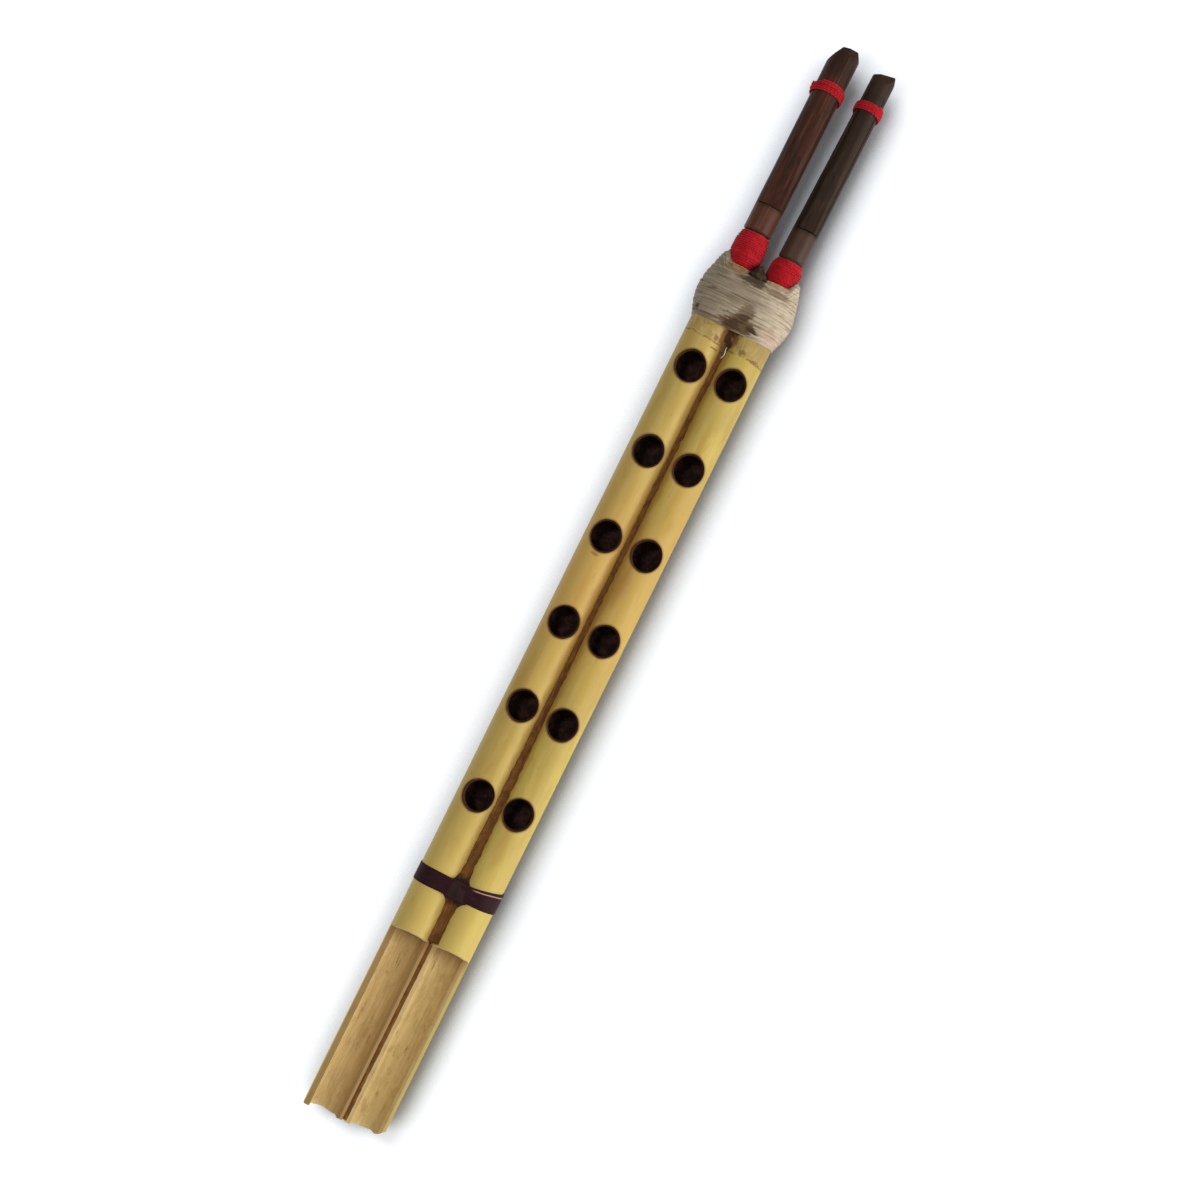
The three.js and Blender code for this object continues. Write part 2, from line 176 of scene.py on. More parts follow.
def times(first, second):
    return calc("MULTIPLY", first, second)


def times_plus(value, factor, rest):
    return calc("MULTIPLY_ADD", value, factor, rest)


def minus(first, second):
    return calc("SUBTRACT", first, second)


def far_from(value, place):
    return calc("ABSOLUTE", minus(value, place))


def xyz(vector):
    return add(vector.id_data, "ShaderNodeSeparateXYZ", {"Vector": vector}).outputs


print("arithmetic ready")

# %% [markdown]
# Colour is laid on in coats, as stain and smoke are. Each coat has a tone and a
# mask that says where it goes. Masks come from soft steps, from noise stretched
# along the grain, and from ragged patches at a chosen place.

# %% Colour helpers
def blend(mask, first, second, how="MIX"):
    inputs = {0: mask, 6: first, 7: second}
    options = dict(data_type="RGBA", blend_type=how, clamp_factor=True)
    return add(tree_of(mask, first, second), "ShaderNodeMix", inputs, **options).outputs[2]


def coat(colour, tone, mask, strength=None):
    """Lays a tone over a colour where the mask says, all of it or a share of its strength."""
    if strength is not None:
        mask = times(mask, strength)
    return blend(mask, colour, tone)


def soft_step(value, low, high, out_low=0.0, out_high=1.0):
    inputs = {"Value": value, "From Min": low, "From Max": high, "To Min": out_low, "To Max": out_high}
    node = add(value.id_data, "ShaderNodeMapRange", inputs, interpolation_type="SMOOTHSTEP")
    return node.outputs["Result"]


def grain(vector, scale, detail=3.0, roughness=0.6, distortion=0.0):
    mapped = add(vector.id_data, "ShaderNodeMapping", {"Vector": vector, "Scale": scale})
    inputs = {"Vector": mapped.outputs[0], "Scale": 1.0, "Detail": detail,
              "Roughness": roughness, "Distortion": distortion}
    return add(vector.id_data, "ShaderNodeTexNoise", inputs).outputs["Fac"]


def patch(vector, centre, half, ragged, spread, soft=0.5):
    """A ragged patch: 1 in the middle of a place, 0 outside it."""
    tree = vector.id_data
    scale = tuple(1 / h for h in half)
    shift = tuple(-c / h for c, h in zip(centre, half))
    local = add(tree, "ShaderNodeMapping", {"Vector": vector, "Scale": scale, "Location": shift})
    far = add(tree, "ShaderNodeVectorMath", {0: local.outputs[0]}, operation="LENGTH").outputs["Value"]
    edge = minus(grain(vector, spread, 6.0, 0.65), 0.5)
    return soft_step(times_plus(edge, 2 * ragged, far), 1.0 + soft / 2, 1.0 - soft / 2)


def rgb(*levels):
    """A colour as it looks on the screen, made linear as the shader wants it."""
    shares = [level / 255 for level in levels]
    linear = [s / 12.92 if s <= 0.04045 else ((s + 0.055) / 1.055) ** 2.4 for s in shares]
    return (*linear, 1.0)


def new_material(name):
    material = bpy.data.materials.new(name)
    material.use_nodes = True
    material.node_tree.nodes.clear()
    return material, add(material.node_tree, "ShaderNodeTexCoord").outputs["Object"]


def surface(colour, roughness, height, relief, depth, **principled):
    """Ends a material: its shader, with a bump whose depth is in millimetres."""
    tree = colour.id_data
    bump = add(tree, "ShaderNodeBump", {"Strength": relief, "Distance": depth * MM, "Height": height})
    inputs = {"Base Color": colour, "Roughness": roughness, "Normal": bump.outputs[0],
              "Specular IOR Level": 0.25}
    inputs.update({name.replace("_", " "): value for name, value in principled.items()})
    shader = add(tree, "ShaderNodeBsdfPrincipled", inputs)
    add(tree, "ShaderNodeOutputMaterial", {"Surface": shader.outputs[0]})


print("colours ready")

# %% [markdown]
# The floor is a plain pale sheet. More lamps would lift it to white, but they
# would bleach the cane too. So it has a little light of its own, for camera rays
# and reflections alone. The glow has an upper limit, and it fades where the
# instrument overhangs the sheet, so the soft shadow beside the pipes stays.

# %% Floor
FLOOR_TONE = (0.59, 0.62, 0.66, 1)
FLOOR_HALF = 3.0
FLOOR_GLOW = 0.95
GLOW_LIMIT = 0.46
GLOW_REACH = 40 * MM
WHITE = (1, 1, 1, 1)


def floor_material():
    material, _ = new_material("white sheet")
    tree = material.node_tree
    paper = add(tree, "ShaderNodeBsdfDiffuse", {"Color": FLOOR_TONE})
    rays = add(tree, "ShaderNodeLightPath").outputs
    seen = calc("MAXIMUM", rays["Is Camera Ray"], rays["Is Glossy Ray"])
    open_sky = add(tree, "ShaderNodeAmbientOcclusion", {"Distance": GLOW_REACH}, samples=8).outputs["AO"]
    lift = calc("MINIMUM", soft_step(open_sky, 0.5, 1.1, 0.0, FLOOR_GLOW), GLOW_LIMIT)
    glow = add(tree, "ShaderNodeEmission", {"Color": WHITE, "Strength": times(seen, lift)})
    both = add(tree, "ShaderNodeAddShader", {0: paper.outputs[0], 1: glow.outputs[0]})
    add(tree, "ShaderNodeOutputMaterial", {"Surface": both.outputs[0]})
    return material


floor_bm = bmesh.new()
bmesh.ops.create_grid(floor_bm, x_segments=1, y_segments=1, size=FLOOR_HALF)
floor_mesh = bpy.data.meshes.new("floor")
floor_bm.to_mesh(floor_mesh)
floor_bm.free()
floor_mesh.materials.append(floor_material())
floor = placed("floor", floor_mesh)
floor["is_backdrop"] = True
print("floor laid")

# %% [markdown]
# In the photograph each pipe is brightest on its right flank, so the main lamp
# is large, stands to the right and lights the instrument alone. A small high
# lamp, a little to the left, draws the thin highlights along the reeds. Two soft
# suns from the left light the sheet alone. The stronger one stands towards the
# head, so the shadow lies to the right and past the foot, and a little of it past
# the tips. A plain white world fills the rest.

# %% Lights
LAMP_DISTANCE = 1.3
SUN_SPREAD = math.radians(38)
WORLD_LEVEL = 0.32


def lamp(name, kind, power, way, place=(0, 0, 0), **options):
    data = bpy.data.lights.new(name, kind)
    data.energy = power
    for option, value in options.items():
        setattr(data, option, value)
    light = placed(name, data)
    light.location = place
    light.rotation_euler = Vector(way).to_track_quat("-Z", "Y").to_euler()
    return light


def softbox(name, degrees, size, power):
    """A square lamp over the pipes, at an angle from upright that is positive to the right."""
    angle = math.radians(degrees)
    place = Vector((math.sin(angle), 0.1, math.cos(angle))).normalized() * LAMP_DISTANCE
    return lamp(name, "AREA", power, -place, place, shape="SQUARE", size=size)


def soft_sun(name, way, strength):
    return lamp(name, "SUN", strength, way, angle=SUN_SPREAD)


on_object = [softbox("window", 60, 1.2, 17.5), softbox("ceiling", -24, 0.2, 3.6)]
on_floor = [soft_sun("head sun", (0.62, -0.62, -1), 2.1), soft_sun("foot sun", (0.62, 0.5, -1), 1.25)]
for light in on_object + on_floor:
    receivers = bpy.data.collections.new(f"floor for the {light.name}")
    receivers.objects.link(floor)
    light.light_linking.receiver_collection = receivers
    link = receivers.collection_objects[0].light_linking
    link.link_state = "INCLUDE" if light in on_floor else "EXCLUDE"

world = bpy.data.worlds.new("studio")
world.use_nodes = True
bpy.context.scene.world = world
sky = world.node_tree
sky.nodes.clear()
seen_directly = add(sky, "ShaderNodeLightPath").outputs["Is Camera Ray"]
sky_level = soft_step(seen_directly, 0.0, 1.0, WORLD_LEVEL, 1.0)
sky_white = add(sky, "ShaderNodeBackground", {"Color": WHITE, "Strength": sky_level})
add(sky, "ShaderNodeOutputWorld", {"Surface": sky_white.outputs[0]})
print("lamps lit")

# %% [markdown]
# Cane shows fine fibres along the stem, broad patches where it ripened unevenly,
# and small dark flecks. A picture of cane would stretch and repeat on a long
# pipe, so all three are noise stretched along Y. They are one node group, because
# the pipes and the reeds share them.

# %% Cane grain, as a node group
def new_group(name, inputs):
    tree = bpy.data.node_groups.new(name, "ShaderNodeTree")
    for label, kind in inputs.items():
        tree.interface.new_socket(label, in_out="INPUT", socket_type=kind)
    return tree, add(tree, "NodeGroupInput").outputs


def close_group(tree, outputs):
    for label in outputs:
        tree.interface.new_socket(label, in_out="OUTPUT", socket_type="NodeSocketFloat")
    add(tree, "NodeGroupOutput", outputs)
    return tree


def from_group(group, inputs):
    return add(tree_of(*inputs.values()), "ShaderNodeGroup", inputs, node_tree=group).outputs


def cane_grain_group():
    tree, given = new_group("cane grain", {"Vector": "NodeSocketVector"})
    vector = given["Vector"]
    fine = grain(vector, (4200, 60, 4200), 6.0)
    coarse = grain(vector, (900, 14, 900), 4.0)
    fibre = times_plus(fine, 0.6, times(coarse, 0.4))
    patches = grain(vector, (130, 34, 130), 5.0, 0.6, 0.6)
    dots = grain(vector, (700, 260, 700), 2.0)
    return close_group(tree, {"Fibre": soft_step(fibre, 0.3, 0.7), "Mottle": soft_step(patches, 0.3, 0.7),
                              "Fleck": soft_step(dots, 0.68, 0.76)})


CANE_GRAIN = cane_grain_group()
print("group:", CANE_GRAIN.name)

# %% [markdown]
# Each finger hole was burnt through with a hot iron, which leaves a black wall and
# a thin brown ring on the skin. The bore round each hole is darkened as well, partly
# as soot and partly as painted shade of the bore. This group measures how far a
# point is from the nearest hole's axis and from the pipe's axis, how far it lies
# across the pipe, and whether it is on the side where the holes are.

# %% Burnt holes, as a node group
def burnt_holes_group():
    tree, given = new_group("burnt holes", {"Vector": "NodeSocketVector", "Centre X": "NodeSocketFloat"})
    place = xyz(given["Vector"])
    across = minus(place["X"], given["Centre X"])
    nearest = far_from(place["Y"], HOLE_PLACES[0])
    for hole in HOLE_PLACES[1:]:
        nearest = calc("MINIMUM", nearest, far_from(place["Y"], hole))
    nearest = calc("DIVIDE", nearest, HOLE_STRETCH)
    square = times(across, across)
    height = minus(place["Z"], AXIS_Z)
    return close_group(tree, {
        "From Hole": calc("SQRT", times_plus(nearest, nearest, square)),
        "From Axis": calc("SQRT", times_plus(height, height, square)),
        "Across": across,
        "In Front": soft_step(height, -0.5 * MM, 0.5 * MM),
    })


BURNT_HOLES = burnt_holes_group()
print("group:", BURNT_HOLES.name)

# %% [markdown]
# The pipes' finish could be one mixed colour, but it is built in coats, as it
# came about. First comes yellow cane skin with its grain, painted a little lighter
# on each pipe's right side, where the light from the right falls. Blushes and
# stains lie on it, and near the head it was scraped down to an old node, and is
# duller above that.

# %% Cane skin of the pipes
# each pipe's dull and ripe tones, then the lighter tone painted on its lit right side
SKIN_TONES = {
    "left": (rgb(182, 154, 78), rgb(196, 167, 88), rgb(200, 174, 94)),
    "right": (rgb(184, 158, 80), rgb(198, 172, 84), rgb(202, 178, 88)),
}
RIM_TONES = {
    "left": (rgb(104, 78, 50), rgb(158, 126, 86)),
    "right": (rgb(150, 130, 100), rgb(204, 188, 160)),
}
# each spot, in millimetres: across, along, half width, half length, and then its strength
STAINS = {
    "left": [(-2.9, 220.4, 0.5, 0.8, 0.8), (-2.3, 217.6, 1.2, 0.25, 0.8), (-1.2, 221.6, 0.9, 2.4, 0.8),
             (-6.6, 222.8, 1.2, 0.5, 0.3), (-6.4, 157.9, 0.9, 0.4, 0.6)],
    "right": [(4.6, 219.8, 0.9, 0.7, 0.7), (8.6, 218.8, 1.2, 0.35, 0.8), (2.5, 187.3, 0.3, 0.5, 0.6),
              (8.4, 186.0, 0.3, 0.8, 0.6), (0.9, 108.8, 0.3, 0.3, 0.9), (1.6, 221.6, 0.9, 2.2, 0.7)],
}
BLUSHES = {
    "left": [(-5.2, 148.0, 1.6, 6.0, 0.25), (-3.0, 205.0, 1.2, 5.0, 0.2), (-8.6, 122.0, 1.2, 7.0, 0.2)],
    "right": [(3.2, 154.0, 1.5, 5.5, 0.65), (7.6, 172.0, 0.9, 2.4, 0.3), (5.8, 194.0, 0.7, 5.0, 0.35),
              (5.4, 82.0, 1.2, 6.0, 0.3), (7.4, 178.0, 3.0, 9.0, 0.22)],
}
SPOT_HEIGHT = 5
SPOT_DEPTH = 4
NODE_Y = FOOT_Y + 219.8 * MM


def spotted(colour, coords, spots, tone, ragged, spread, soft=0.5):
    for x, y, half_x, half_y, strength in spots:
        half = mm(half_x, half_y, SPOT_DEPTH)
        spot = patch(coords, on_pipes(x, y, SPOT_HEIGHT), half, ragged, spread, soft)
        colour = coat(colour, tone, spot, strength)
    return colour


def cane_marks(side, coords):
    """All that the finish depends on at a point: grain, holes, place and three kinds of cloud."""
    marks = dict(from_group(CANE_GRAIN, {"Vector": coords}).items())
    marks.update(from_group(BURNT_HOLES, {"Vector": coords, "Centre X": PIPE_X[side]}).items())
    marks.update(xyz(coords).items())
    marks["Wobble"] = grain(coords, (500, 160, 500), 3.0)
    marks["Smudges"] = grain(coords, (520, 520, 520), 5.0, 0.7)
    marks["Clouds"] = soft_step(grain(coords, (420, 150, 420), 6.0, 0.7, 0.6), 0.42, 0.7)
    return marks


def cane_skin(side, coords, marks):
    dull, ripe, painted_lit_tone = SKIN_TONES[side]
    # painted light: the right side of each pipe is lightened, as the light from the right falls there
    sun = soft_step(marks["Across"], -1 * MM, 5 * MM)
    skin = blend(marks["Mottle"], dull, blend(sun, ripe, painted_lit_tone))
    fibre_tone = blend(marks["Fibre"], rgb(232, 222, 200), rgb(255, 255, 250))
    skin = blend(0.4, skin, fibre_tone, "MULTIPLY")
    smoky = soft_step(grain(coords, (240, 60, 240), 4.0, 0.6, 0.8), 0.58, 0.72)
    skin = coat(skin, rgb(170, 122, 52), smoky, 0.3)
    skin = coat(skin, rgb(130, 98, 48), marks["Fleck"], 0.3)
    from_middle = far_from(marks["Y"], FOOT_Y + 152 * MM)
    skin = coat(skin, rgb(206, 156, 76), soft_step(from_middle, 45 * MM, 5 * MM, 0.0, 0.35))
    near_foot = soft_step(marks["Y"], FOOT_Y + 110 * MM, FOOT_Y + 50 * MM, 0.0, 0.4)
    skin = coat(skin, rgb(220, 194, 106), near_foot)
    skin = spotted(skin, coords, BLUSHES[side], rgb(172, 118, 50), 0.9, (300, 120, 300), 1.4)

    from_node = times_plus(marks["X"], 0.06, minus(marks["Y"], NODE_Y))
    from_node = times_plus(marks["Wobble"], 1.6 * MM, from_node)
    above = soft_step(from_node, -0.3 * MM, 1.0 * MM, 0.0, 0.55)
    skin = coat(skin, blend(marks["Clouds"], rgb(132, 104, 58), rgb(190, 164, 104)), above)
    scored = soft_step(calc("ABSOLUTE", from_node), 0.35 * MM, 0.05 * MM, 0.0, 0.8)
    skin = coat(skin, rgb(104, 74, 36), scored, soft_step(marks["Smudges"], 0.34, 0.54))
    skin = spotted(skin, coords, STAINS[side], rgb(116, 76, 32), 1.6, (900, 500, 900))
    waxy = soft_step(marks["Y"], MOUTH_Y - 3.6 * MM, MOUTH_Y - 2.6 * MM, 0.0, 0.85)
    skin = coat(skin, blend(marks["Clouds"], *RIM_TONES[side]), waxy)
    # a brown band beside the seam, partly resin stain and partly painted shade of the valley between the
    # pipes
    beside_seam = times_plus(marks["Wobble"], -2.4 * MM, calc("ABSOLUTE", marks["X"]))
    return coat(skin, rgb(136, 92, 38), soft_step(beside_seam, 1.6 * MM, 0.0), 0.5)


print("spots of stain:", {side: len(spots) for side, spots in STAINS.items()})

# %% [markdown]
# Where the skin is cut away, the wood is bare and tan. In the scoop, painted
# shade darkens the floor just below the step at the head end and the right half
# of each trough, which the light from the right does not reach, and the cut rims
# are worn. The pale cut face at the head of the scoop is partly the fresh wood's
# tone and partly a painted highlight. The scorching comes last, with painted
# shade in the bore round each hole. Polished skin shines a little, and bare wood
# is dull.

# %% Cut wood and scorching of the pipes
WOOD_TONES = {
    "left": (rgb(208, 174, 114), rgb(234, 204, 142)),
    "right": (rgb(212, 182, 118), rgb(236, 208, 146)),
}
LIP_TONES = {"left": rgb(186, 148, 100), "right": rgb(212, 188, 118)}
# wear of the scoop's two cut rims on each pipe, the one to the left first
RIM_WEAR = {"left": (0.75, 0.9), "right": (0.3, 0.4)}
# how strongly painted shade darkens the right half of each scoop's floor
SHADED = {"left": 0.62, "right": 0.4}


def cut_wood(side, coords, marks):
    wood = blend(marks["Fibre"], *WOOD_TONES[side])
    wood = coat(wood, rgb(178, 142, 86), marks["Clouds"], 0.55)
    blotch = soft_step(grain(coords, (620, 150, 620), 6.0, 0.75, 1.0), 0.57, 0.7)
    wood = coat(wood, rgb(120, 84, 42), blotch, 0.7)
    # painted shade: the right half of each trough is darkened, as the light from the right leaves it in
    # shade
    wood = coat(wood, rgb(156, 120, 70), soft_step(marks["Across"], 0.0, 4 * MM, 0.0, SHADED[side]))

    from_rim = far_from(marks["Z"], AXIS_Z + SCOOP_HEIGHT)
    edge_share = soft_step(marks["Across"], 2 * MM, 3 * MM, *RIM_WEAR[side])
    wood = coat(wood, rgb(128, 98, 54), soft_step(from_rim, 0.15 * MM, 0.05 * MM), edge_share)
    outer = soft_step(marks["Across"], 4.5 * MM, 4.8 * MM, 0.0, 0.7)
    wood = coat(wood, LIP_TONES[side], soft_step(from_rim, 0.3 * MM, 0.1 * MM), outer)

    past_scoop = minus(marks["Y"], FOOT_Y + SCOOP_LENGTH)
    # painted shade: the trough floor just below the step at the scoop's head is darkened, as the step shades
    # it
    painted_step_shade = soft_step(past_scoop, -4.5 * MM, 0.0, 0.0, 0.5)
    wood = coat(wood, rgb(148, 98, 52), painted_step_shade, soft_step(past_scoop, 0.2 * MM, 0.0))
    # the cut face at the scoop's head is painted pale, partly the fresh wood's tone and partly a painted
    # highlight along the edge
    cut_end = times(soft_step(past_scoop, 0.1 * MM, 0.3 * MM), soft_step(past_scoop, 3 * MM, 2 * MM))
    off_bore = soft_step(marks["From Axis"], BORE_R + 0.1 * MM, BORE_R + 0.3 * MM)
    return coat(wood, rgb(244, 224, 176), cut_end, off_bore)


def pipe_cane(side):
    material, coords = new_material(f"{side} pipe cane")
    marks = cane_marks(side, coords)
    inside = soft_step(marks["From Axis"], PIPE_R - 0.1 * MM, PIPE_R - 0.3 * MM)
    colour = blend(inside, cane_skin(side, coords, marks), cut_wood(side, coords, marks))

    ring = times_plus(marks["Wobble"], 0.35 * MM, marks["From Hole"])
    scorch = times(soft_step(ring, HOLE_R + 0.85 * MM, HOLE_R + 0.3 * MM), marks["In Front"])
    char = times(soft_step(ring, HOLE_R + 0.4 * MM, HOLE_R + 0.24 * MM), marks["In Front"])
    # darkens the bore round each hole: partly soot, partly painted shade inside the bore
    soot_and_bore_shade = times(inside, soft_step(marks["From Hole"], 9 * MM, 4.5 * MM))
    burnt = blend(soft_step(marks["Smudges"], 0.4, 0.65), rgb(30, 17, 12), rgb(70, 40, 28))
    wall = soft_step(marks["From Axis"], BORE_R + 0.1 * MM, BORE_R + 0.4 * MM)
    burnt = coat(burnt, rgb(88, 48, 16), wall, 0.5)
    colour = coat(colour, rgb(96, 56, 24), scorch, 0.7)
    colour = coat(colour, burnt, calc("MAXIMUM", char, soot_and_bore_shade))

    bare = calc("MAXIMUM", inside, char)
    relief = times_plus(marks["Mottle"], 0.5, marks["Fibre"])
    surface(colour, soft_step(bare, 0.0, 1.0, 0.46, 0.85), relief, 0.22, 0.08)
    return material


PIPE_CANE = {side: pipe_cane(side) for side in SIDES}
print("cane:", [material.name for material in PIPE_CANE.values()])

# %% [markdown]
# Pieces are made on the same bench. Each finished one is linked, made to ride on
# the part that carries it, and set in place of the plain solids. Edges sharper
# than a given angle stay crisp, and the rest is shaded smooth.

# %% Bench
def hand_over(name, mesh, material, body, slot, *nodes, smooth_angle=60):
    mesh.materials.clear()
    mesh.materials.append(material)
    mesh.shade_smooth()
    mesh.set_sharp_from_angle(angle=math.radians(smooth_angle))
    piece = placed(name, mesh)
    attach(piece, body)
    if nodes:
        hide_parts(*nodes)
    mesh.calc_loop_triangles()
    print(f"{name}: {len(mesh.loop_triangles)} triangles")


def smooth(value, low, high):
    share = min(1.0, max(0.0, (value - low) / (high - low)))
    return share * share * (3 - 2 * share)


def mix(first, second, share):
    return first + (second - first) * share


def shares(steps):
    """Even shares from 0 to 1."""
    return [step / steps for step in range(steps + 1)]


def waver(x, y, z):
    """Smooth noise between about -1 and 1, the same at each run."""
    return noise.noise(Vector((x, y, z)))


def shift(bm, vec):
    bmesh.ops.translate(bm, vec=vec, verts=bm.verts)


def turn(bm, angle, axis):
    bmesh.ops.rotate(bm, matrix=Matrix.Rotation(angle, 3, axis), verts=bm.verts)


def mesh_from(bm, name):
    bmesh.ops.recalc_face_normals(bm, faces=bm.faces)
    mesh = bpy.data.meshes.new(name)
    bm.to_mesh(mesh)
    bm.free()
    return mesh


print("bench ready")

# %% [markdown]
# Four ways of making cover the whole instrument. A closed profile is spun into a
# turned form. A ring is extruded again and again along a row of sections. A block
# or another turned form is cut out of a blank by a boolean. A thread is a curve
# with a round bevel, made into a mesh.

# %% Ways of making
def spun(points, steps, axis="Y", rings=0):
    """Turns a closed profile of (radius, place) pairs once round an axis through the origin."""
    bm = bmesh.new()
    upright = axis == "Z"
    verts = [bm.verts.new((radius, 0, place) if upright else (radius, place, 0)) for radius, place in points]
    edges = [bm.edges.new((a, b)) for a, b in zip(verts, verts[1:])]
    if points[0][0] > 0:
        edges.append(bm.edges.new((verts[-1], verts[0])))
    if rings:
        longest = max(edge.calc_length() for edge in edges)
        long_edges = [edge for edge in edges if edge.calc_length() > longest / 2]
        bmesh.ops.subdivide_edges(bm, edges=long_edges, cuts=rings)
    bmesh.ops.spin(bm, geom=bm.verts[:] + bm.edges[:], cent=(0, 0, 0), angle=2 * math.pi, steps=steps,
                   axis=(0, 0, 1) if upright else (0, 1, 0), use_merge=True)
    bmesh.ops.remove_doubles(bm, verts=bm.verts, dist=1e-7)
    bmesh.ops.recalc_face_normals(bm, faces=bm.faces)
    return bm


def lofted(sections):
    """Extrudes a ring along sections with equal counts of points, and closes both ends."""
    bm = bmesh.new()
    ring = [bm.verts.new(point) for point in sections[0]]
    edges = [bm.edges.new((a, b)) for a, b in zip(ring, ring[1:] + ring[:1])]
    ends = [edges]
    for section in sections[1:]:
        made = bmesh.ops.extrude_edge_only(bm, edges=edges)["geom"]
        fresh = {item for item in made if isinstance(item, bmesh.types.BMVert)}
        next_ring = []
        for vert, point in zip(ring, section):
            twin = next(e.other_vert(vert) for e in vert.link_edges if e.other_vert(vert) in fresh)
            twin.co = point
            next_ring.append(twin)
        ring = next_ring
        edges = [bm.edges.get((a, b)) for a, b in zip(ring, ring[1:] + ring[:1])]
    ends.append(edges)
    for loop in ends:
        bmesh.ops.holes_fill(bm, edges=loop, sides=0)
    bmesh.ops.recalc_face_normals(bm, faces=bm.faces)
    return bm


def evaluated_mesh(thing):
    graph = bpy.context.evaluated_depsgraph_get()
    return bpy.data.meshes.new_from_object(thing.evaluated_get(graph))


def carved(mesh, cutters, operation="DIFFERENCE"):
    """Applies an exact boolean for each cutter mesh, and returns the new mesh."""
    body = placed("blank", mesh)
    tools = [placed("cutter", cutter) for cutter in cutters]
    for tool in tools:
        modifier = body.modifiers.new("cut", "BOOLEAN")
        modifier.operation = operation
        modifier.solver = "EXACT"
        modifier.object = tool
    result = evaluated_mesh(body)
    for thing in [body, *tools]:
        bpy.data.objects.remove(thing)
    return result


def strand(paths, radius, resolution=1):
    """A mesh of round thread along each path; a point may carry its own share of the radius."""
    curve = bpy.data.curves.new("strand", "CURVE")
    curve.dimensions = "3D"
    curve.bevel_depth = radius
    curve.bevel_resolution = resolution
    curve.use_fill_caps = True
    for path in paths:
        spline = curve.splines.new("POLY")
        spline.points.add(len(path) - 1)
        for point, entry in zip(spline.points, path):
            place, share = entry if isinstance(entry, tuple) else (entry, 1.0)
            point.co = (*place, 1.0)
            point.radius = share
    thing = placed("strand", curve)
    mesh = evaluated_mesh(thing)
    bpy.data.objects.remove(thing)
    return mesh


def block(low, high):
    bm = bmesh.new()
    bmesh.ops.create_cube(bm, size=1)
    bmesh.ops.scale(bm, vec=[b - a for a, b in zip(low, high)], verts=bm.verts)
    shift(bm, [(a + b) / 2 for a, b in zip(low, high)])
    return bm


def shaped_block(corner_at):
    """A block whose eight corners are placed one by one, each from its three signs."""
    bm = bmesh.new()
    bmesh.ops.create_cube(bm, size=2)
    for vert in bm.verts:
        vert.co = corner_at(*vert.co)
    return bm


print("ways of making ready")

# %% [markdown]
# A pipe starts as a turned tube with small rounds at its ends. It has many rings,
# so that the skin can swell and dip a little, as cane does, and so that the foot
# can be nicked by the saw. Each hole is cut by a flared bit that follows the round
# of the skin, as the hot iron's cone did, and is a little longer along the grain
# than across it. A raked block cuts the open scoop.

# %% Pipes
PIPE_STEPS = 112
PIPE_RINGS = 170
SOCKET_R = 4.6 * MM
SOCKET_DEPTH = 8 * MM
END_ROUND = 0.25 * MM
MOUTH_PARING = 0.8 * MM
SKIN_SWELL = 0.05 * MM
NICK_REACH = 3.5 * MM
NICK_DEPTH = 0.6
CHIPPED_RIM = {"left": 0.0, "right": 2.3}
HOLE_STEPS = 64
# each ring of the bit, in millimetres: how far it is past the hole's radius, and above the skin
HOLE_FLARE = [(-0.3, -4.7), (-0.3, -1.3), (-0.08, -0.5), (0, -0.25), (0.08, -0.08), (0.18, 0.02), (0.18, 2)]
HOLE_DRIFTS = {
    "left": (0.25, -0.03, -0.2, -0.18, 0.03, 0.05),
    "right": (-0.2, -0.08, -0.1, 0.17, 0.02, 0.0),
}
CUTTER_MARGIN = 2 * MM


def pipe_blank(side):
    head = MOUTH_Y - MOUTH_PARING
    profile = [
        (BORE_R, FOOT_Y), (PIPE_R - END_ROUND, FOOT_Y), (PIPE_R, FOOT_Y + END_ROUND),
        (PIPE_R, head - END_ROUND), (PIPE_R - END_ROUND, head), (SOCKET_R, head),
        (SOCKET_R, MOUTH_Y - SOCKET_DEPTH), (BORE_R, MOUTH_Y - SOCKET_DEPTH),
    ]
    bm = spun(profile, PIPE_STEPS, rings=PIPE_RINGS)
    for vert in bm.verts:
        arm = Vector((vert.co.x, 0, vert.co.z))
        if arm.length > BORE_R + END_ROUND:
            swell = waver(arm.x * 250, vert.co.y * 45, arm.z * 250 + 9 * SIDES[side])
            vert.co += arm.normalized() * SKIN_SWELL * (swell - 0.4)
        from_foot = vert.co.y - FOOT_Y
        if from_foot < NICK_REACH:
            spot = Vector((arm.x * 330, 3 * SIDES[side], arm.z * 330))
            nick = NICK_DEPTH * max(0.0, noise.noise(spot) + 0.3 * noise.noise(spot * 4) + 0.25)
            nick += CHIPPED_RIM[side] * smooth(arm.x, 2.6 * MM, PIPE_R)
            vert.co.y += nick * MM * (1 - from_foot / NICK_REACH)
    shift(bm, (PIPE_X[side], 0, AXIS_Z))
    return mesh_from(bm, f"{side}_pipe_blank")


def hole_cutter(side, place, drift):
    points = [(HOLE_R + wide * MM, PIPE_R + high * MM) for wide, high in HOLE_FLARE]
    bm = spun([(0, points[0][1]), *points, (0, points[-1][1])], HOLE_STEPS, axis="Z")
    for vert in bm.verts:
        vert.co.z -= PIPE_R - math.sqrt(PIPE_R ** 2 - vert.co.x ** 2)
    bmesh.ops.scale(bm, vec=(1, HOLE_STRETCH, 1), verts=bm.verts)
    shift(bm, (PIPE_X[side] + drift * MM, place, AXIS_Z))
    return mesh_from(bm, "hole cutter")


